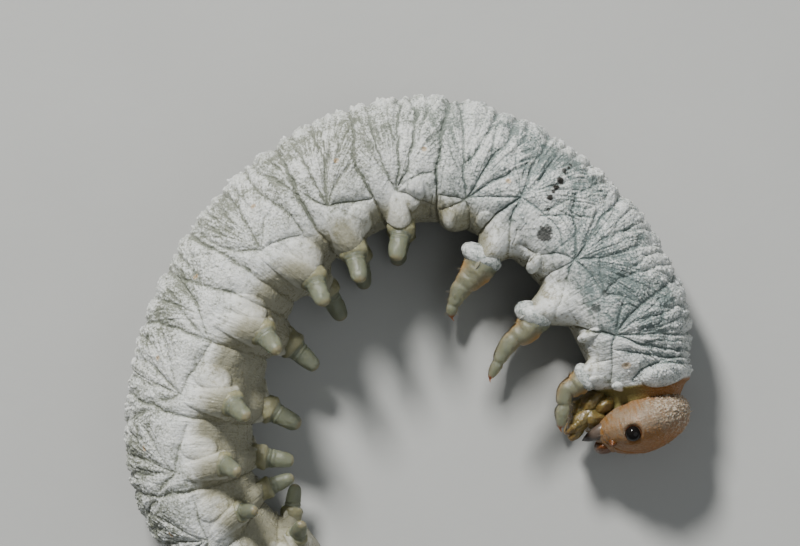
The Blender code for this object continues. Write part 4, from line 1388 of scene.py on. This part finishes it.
def ball(name, centre, axes, size, material, look, grid, bumpy=0.0, seed=0):
    """Rounded, gently uneven lump; a look of None runs from 0 to 1 along its first axis."""
    columns, rows = grid
    t = np.linspace(0.01, math.pi - 0.01, rows)[:, None]
    c = ring_angles(columns)[None, :]
    local = stacked(-np.cos(t), np.sin(t) * np.cos(c), np.sin(t) * np.sin(c))
    first_axis = 0.5 + 0.5 * local[..., 0]
    if bumpy:
        lumps = swing(local, 0.60, seed, 0.6) + swing(local, 0.22, seed + 1, 0.28)
        lumps = lumps + 0.14 * (crinkle(local, 0.10, seed + 2) - 0.4)
        local = local * (1.0 + bumpy * lumps)[..., None]
    look = {key: first_axis if value is None else value for key, value in look.items()}
    return closed_mesh(name, np.array(centre) + (local * size) @ axes, material, look)


# Routes of one jaw and one palp, with the half thickness at each point
JAW_ROUTE = ((0.85, -0.05, 0.55), (1.03, -0.04, 0.58), (1.22, -0.01, 0.55), (1.38, 0.02, 0.44),
             (1.52, 0.04, 0.31), (1.63, 0.05, 0.20))
JAW_HALVES = (0.22, 0.21, 0.180, 0.13, 0.075, 0.012)
JAW_SQUASH = 0.8
PALP_ROUTE = ((1.45, -0.50, 0.50), (1.66, -0.42, 0.58), (1.84, -0.36, 0.58), (1.97, -0.30, 0.52))
PALP_HALVES = (0.13, 0.10, 0.075, 0.03)
MOUTH_ROWS = 40
LABRUM_PLACE = (1.06, 0.37, 0.0)
LABRUM_SIZE = (0.33, 0.23, 0.52)
LUMP_GRID = (48, 36)
# Lobes of the lip, turned by this many degrees towards the front: middle and half sizes
LIP_TURN = 24.0
LIP_LOBES = (
    ((1.05, -0.90, 0.0), (0.56, 0.30, 0.66)),
    ((1.42, -0.78, 0.0), (0.42, 0.28, 0.54)),
    ((1.16, -0.46, 0.0), (0.42, 0.40, 0.66)),
    ((0.74, -0.72, 0.0), (0.46, 0.32, 0.66)),
    ((1.46, -0.50, 0.36), (0.52, 0.27, 0.29)),
    ((1.46, -0.50, -0.36), (0.52, 0.27, 0.29)),
    ((1.50, -0.52, 0.0), (0.56, 0.26, 0.26)),
    ((1.74, -0.20, 0.34), (0.26, 0.15, 0.16)),
    ((1.74, -0.20, -0.34), (0.26, 0.15, 0.16)),
    ((1.82, -0.36, 0.13), (0.22, 0.14, 0.15)),
)


def mouth_path(route, sign):
    """Path of a jaw or palp on one side, how far along it each row is, and how far each point is."""
    along, front, side = np.array(route).T
    return resampled(head_points(along, front, sign * side), MOUTH_ROWS)


def make_face(head_mat, eye_mat, jaw_mat, mouth_mat):
    """Eyes, antennae, labrum, jaws, lip and palps."""
    pieces = {}
    for name, sign in SIDES:
        eye = head_points(*EYE_PLACE, sign * (head_side(*EYE_PLACE) - EYE_SINK))
        pieces["eye_" + name] = ball("eye_lens_" + name, eye, HEAD_AXES, EYE_RADIUS, eye_mat, {}, EYE_GRID)
        root = head_points(*ANTENNA_PLACE, sign * (head_side(*ANTENNA_PLACE) - ANTENNA_SINK))
        aim = (np.array(ANTENNA_AIM) * (1.0, 1.0, sign)) @ HEAD_AXES
        aim /= np.linalg.norm(aim)
        u = np.linspace(0.0, 1.0, 30)
        path = root + aim * ANTENNA_LENGTH * u[:, None]
        half = ANTENNA_HALF * (1.0 - u) ** 0.6 * (1.0 + 0.10 * np.cos(u * 22.0)) + 0.004
        pieces["antenna_" + name] = limb("antenna_" + name, path, half, head_mat, BARE_HEAD_LOOK, 20)
        path, t, length = mouth_path(JAW_ROUTE, sign)
        half = np.maximum(through(length, JAW_HALVES, t), 0.01)
        look = {"tip": t / length[-1]}
        pieces["jaw_" + name] = limb("jaw_" + name, path, half, jaw_mat, look, 28, JAW_SQUASH)
    pieces["labrum"] = ball("labrum", head_points(*LABRUM_PLACE), HEAD_AXES, LABRUM_SIZE, head_mat,
                            BARE_HEAD_LOOK, LUMP_GRID, 0.18, 3)

    axes = plan_axes(HEAD_HEADING + LIP_TURN)
    lip = []
    for index, (middle, size) in enumerate(LIP_LOBES):
        lip.append(ball("lobe", head_points(*middle), axes, size, mouth_mat, {"tip": None}, LUMP_GRID, 0.30,
                        20 + index))
    for _, sign in SIDES:
        path, t, length = mouth_path(PALP_ROUTE, sign)
        half = through(length, PALP_HALVES, t) * (1.0 + 0.16 * np.cos(t * 36.0))
        lip.append(limb("palp", path, half, mouth_mat, {"tip": t / length[-1]}, 20))
    pieces["lip"] = join(lip, "lip_and_palps")
    return pieces


# Stage, with lengths in metres
FLOOR_SIZE = 1.2
SKY_COLOUR = (0.86, 0.90, 0.92, 1.0)
SKY_STRENGTH = 0.24
# Lamps: name, place, size, power, colour. Both look at the middle of the body
LAMPS = (
    ("key", (-0.060, 0.140, 0.140), 0.040, 0.88, (1.0, 0.985, 0.96)),
    ("fill", (0.160, -0.060, 0.200), 0.300, 0.20, (0.95, 0.98, 1.0)),
)
LAMP_AIM = (0.0, 0.0, 0.0015)


def make_stage():
    """Floor and lights."""
    bpy.ops.mesh.primitive_plane_add(size=FLOOR_SIZE)
    floor = bpy.context.active_object
    floor.name = "floor"
    floor.data.materials.append(floor_material())

    world = bpy.context.scene.world or bpy.data.worlds.new("studio")
    bpy.context.scene.world = world
    world.use_nodes = True
    background = world.node_tree.nodes["Background"]
    background.inputs["Color"].default_value = SKY_COLOUR
    background.inputs["Strength"].default_value = SKY_STRENGTH

    for name, place, size, power, colour in LAMPS:
        data = bpy.data.lights.new(name, "AREA")
        data.shape = "DISK"
        data.size = size
        data.energy = power
        data.color = colour
        lamp = bpy.data.objects.new(name, data)
        bpy.context.scene.collection.objects.link(lamp)
        lamp.location = place
        lamp.rotation_euler = (Vector(LAMP_AIM) - Vector(place)).to_track_quat("-Z", "Y").to_euler()


# The photograph's frame: its pixels are this many millimetres wide, and the neck lies at this
# pixel of it. The camera looks straight down on the larva's side.
PIXEL = 0.0275
NECK_PIXEL = (645.0, 386.5)
PHOTO_SIZE = (800.0, 546.0)
LENS = 500.0
SENSOR = 36.0
FOCUS_HEIGHT = 1.9


def make_camera():
    """Camera with the photograph's framing."""
    data = bpy.data.cameras.new("camera")
    data.lens = LENS
    data.sensor_width = SENSOR
    data.sensor_fit = "HORIZONTAL"
    data.clip_start = 0.002
    data.clip_end = 5.0
    camera = bpy.data.objects.new("camera", data)
    bpy.context.scene.collection.objects.link(camera)
    x = NECK[0] + (0.5 * PHOTO_SIZE[0] - NECK_PIXEL[0]) * PIXEL
    y = NECK[1] + (NECK_PIXEL[1] - 0.5 * PHOTO_SIZE[1]) * PIXEL
    distance = PHOTO_SIZE[0] * PIXEL * LENS / SENSOR
    camera.location = (x * MM, y * MM, (FOCUS_HEIGHT + distance) * MM)
    bpy.context.scene.camera = camera


# Pieces of the face that stand for a solid: its name and the slot
STANDS_FOR = {
    "eye_right": ("eye_right", "eye"),
    "eye_left": ("eye_left", "eye"),
    "jaw_right": ("mandible_right", "jaw"),
    "jaw_left": ("mandible_left", "jaw"),
    "lip": ("mouthparts", "mouth"),
}


def main():
    """Make every piece, say what it rides on, hide the solids that the pieces replace, and set the stage.
    """
    skin_mat = skin_material()
    glass_mat = glassy_material()
    head_mat = head_material()

    skin = make_skin(skin_mat)
    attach(skin, "root")
    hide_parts("thorax_1", "thorax_2", "thorax_3", "abdomen_1_2", "abdomen_3_4", "abdomen_5_6",
                "abdomen_7_8", "tail_end")

    head = make_head(head_mat)
    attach(head, "root")
    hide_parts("head")

    face = make_face(head_mat, eye_material(), jaw_material(), mouth_material())
    for key, piece in face.items():
        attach(piece, "root")
        if key in STANDS_FOR:
            node, slot = STANDS_FOR[key]
            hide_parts(node)

    for segment, wide, plan, pad in LEGS:
        for side_name, sign in SIDES:
            which = "%s_%s" % (side_name, segment[1:])
            piece = make_leg("jointed_leg_" + which, sign, segment, wide, plan, glass_mat)
            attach(piece, "root")
            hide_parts("leg_" + which)
            piece = make_leg_pad("leg_pad_" + which, sign, segment, wide, pad, skin_mat)
            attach(piece, "root")
    for segment in PROLEG_SEGMENTS:
        for side_name, sign in SIDES:
            which = "%s_%s" % (side_name, segment[1:])
            piece = make_proleg("fleshy_leg_" + which, sign, segment, glass_mat)
            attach(piece, "root")
            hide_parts("proleg_" + which)
    make_stage()
    make_camera()


main()
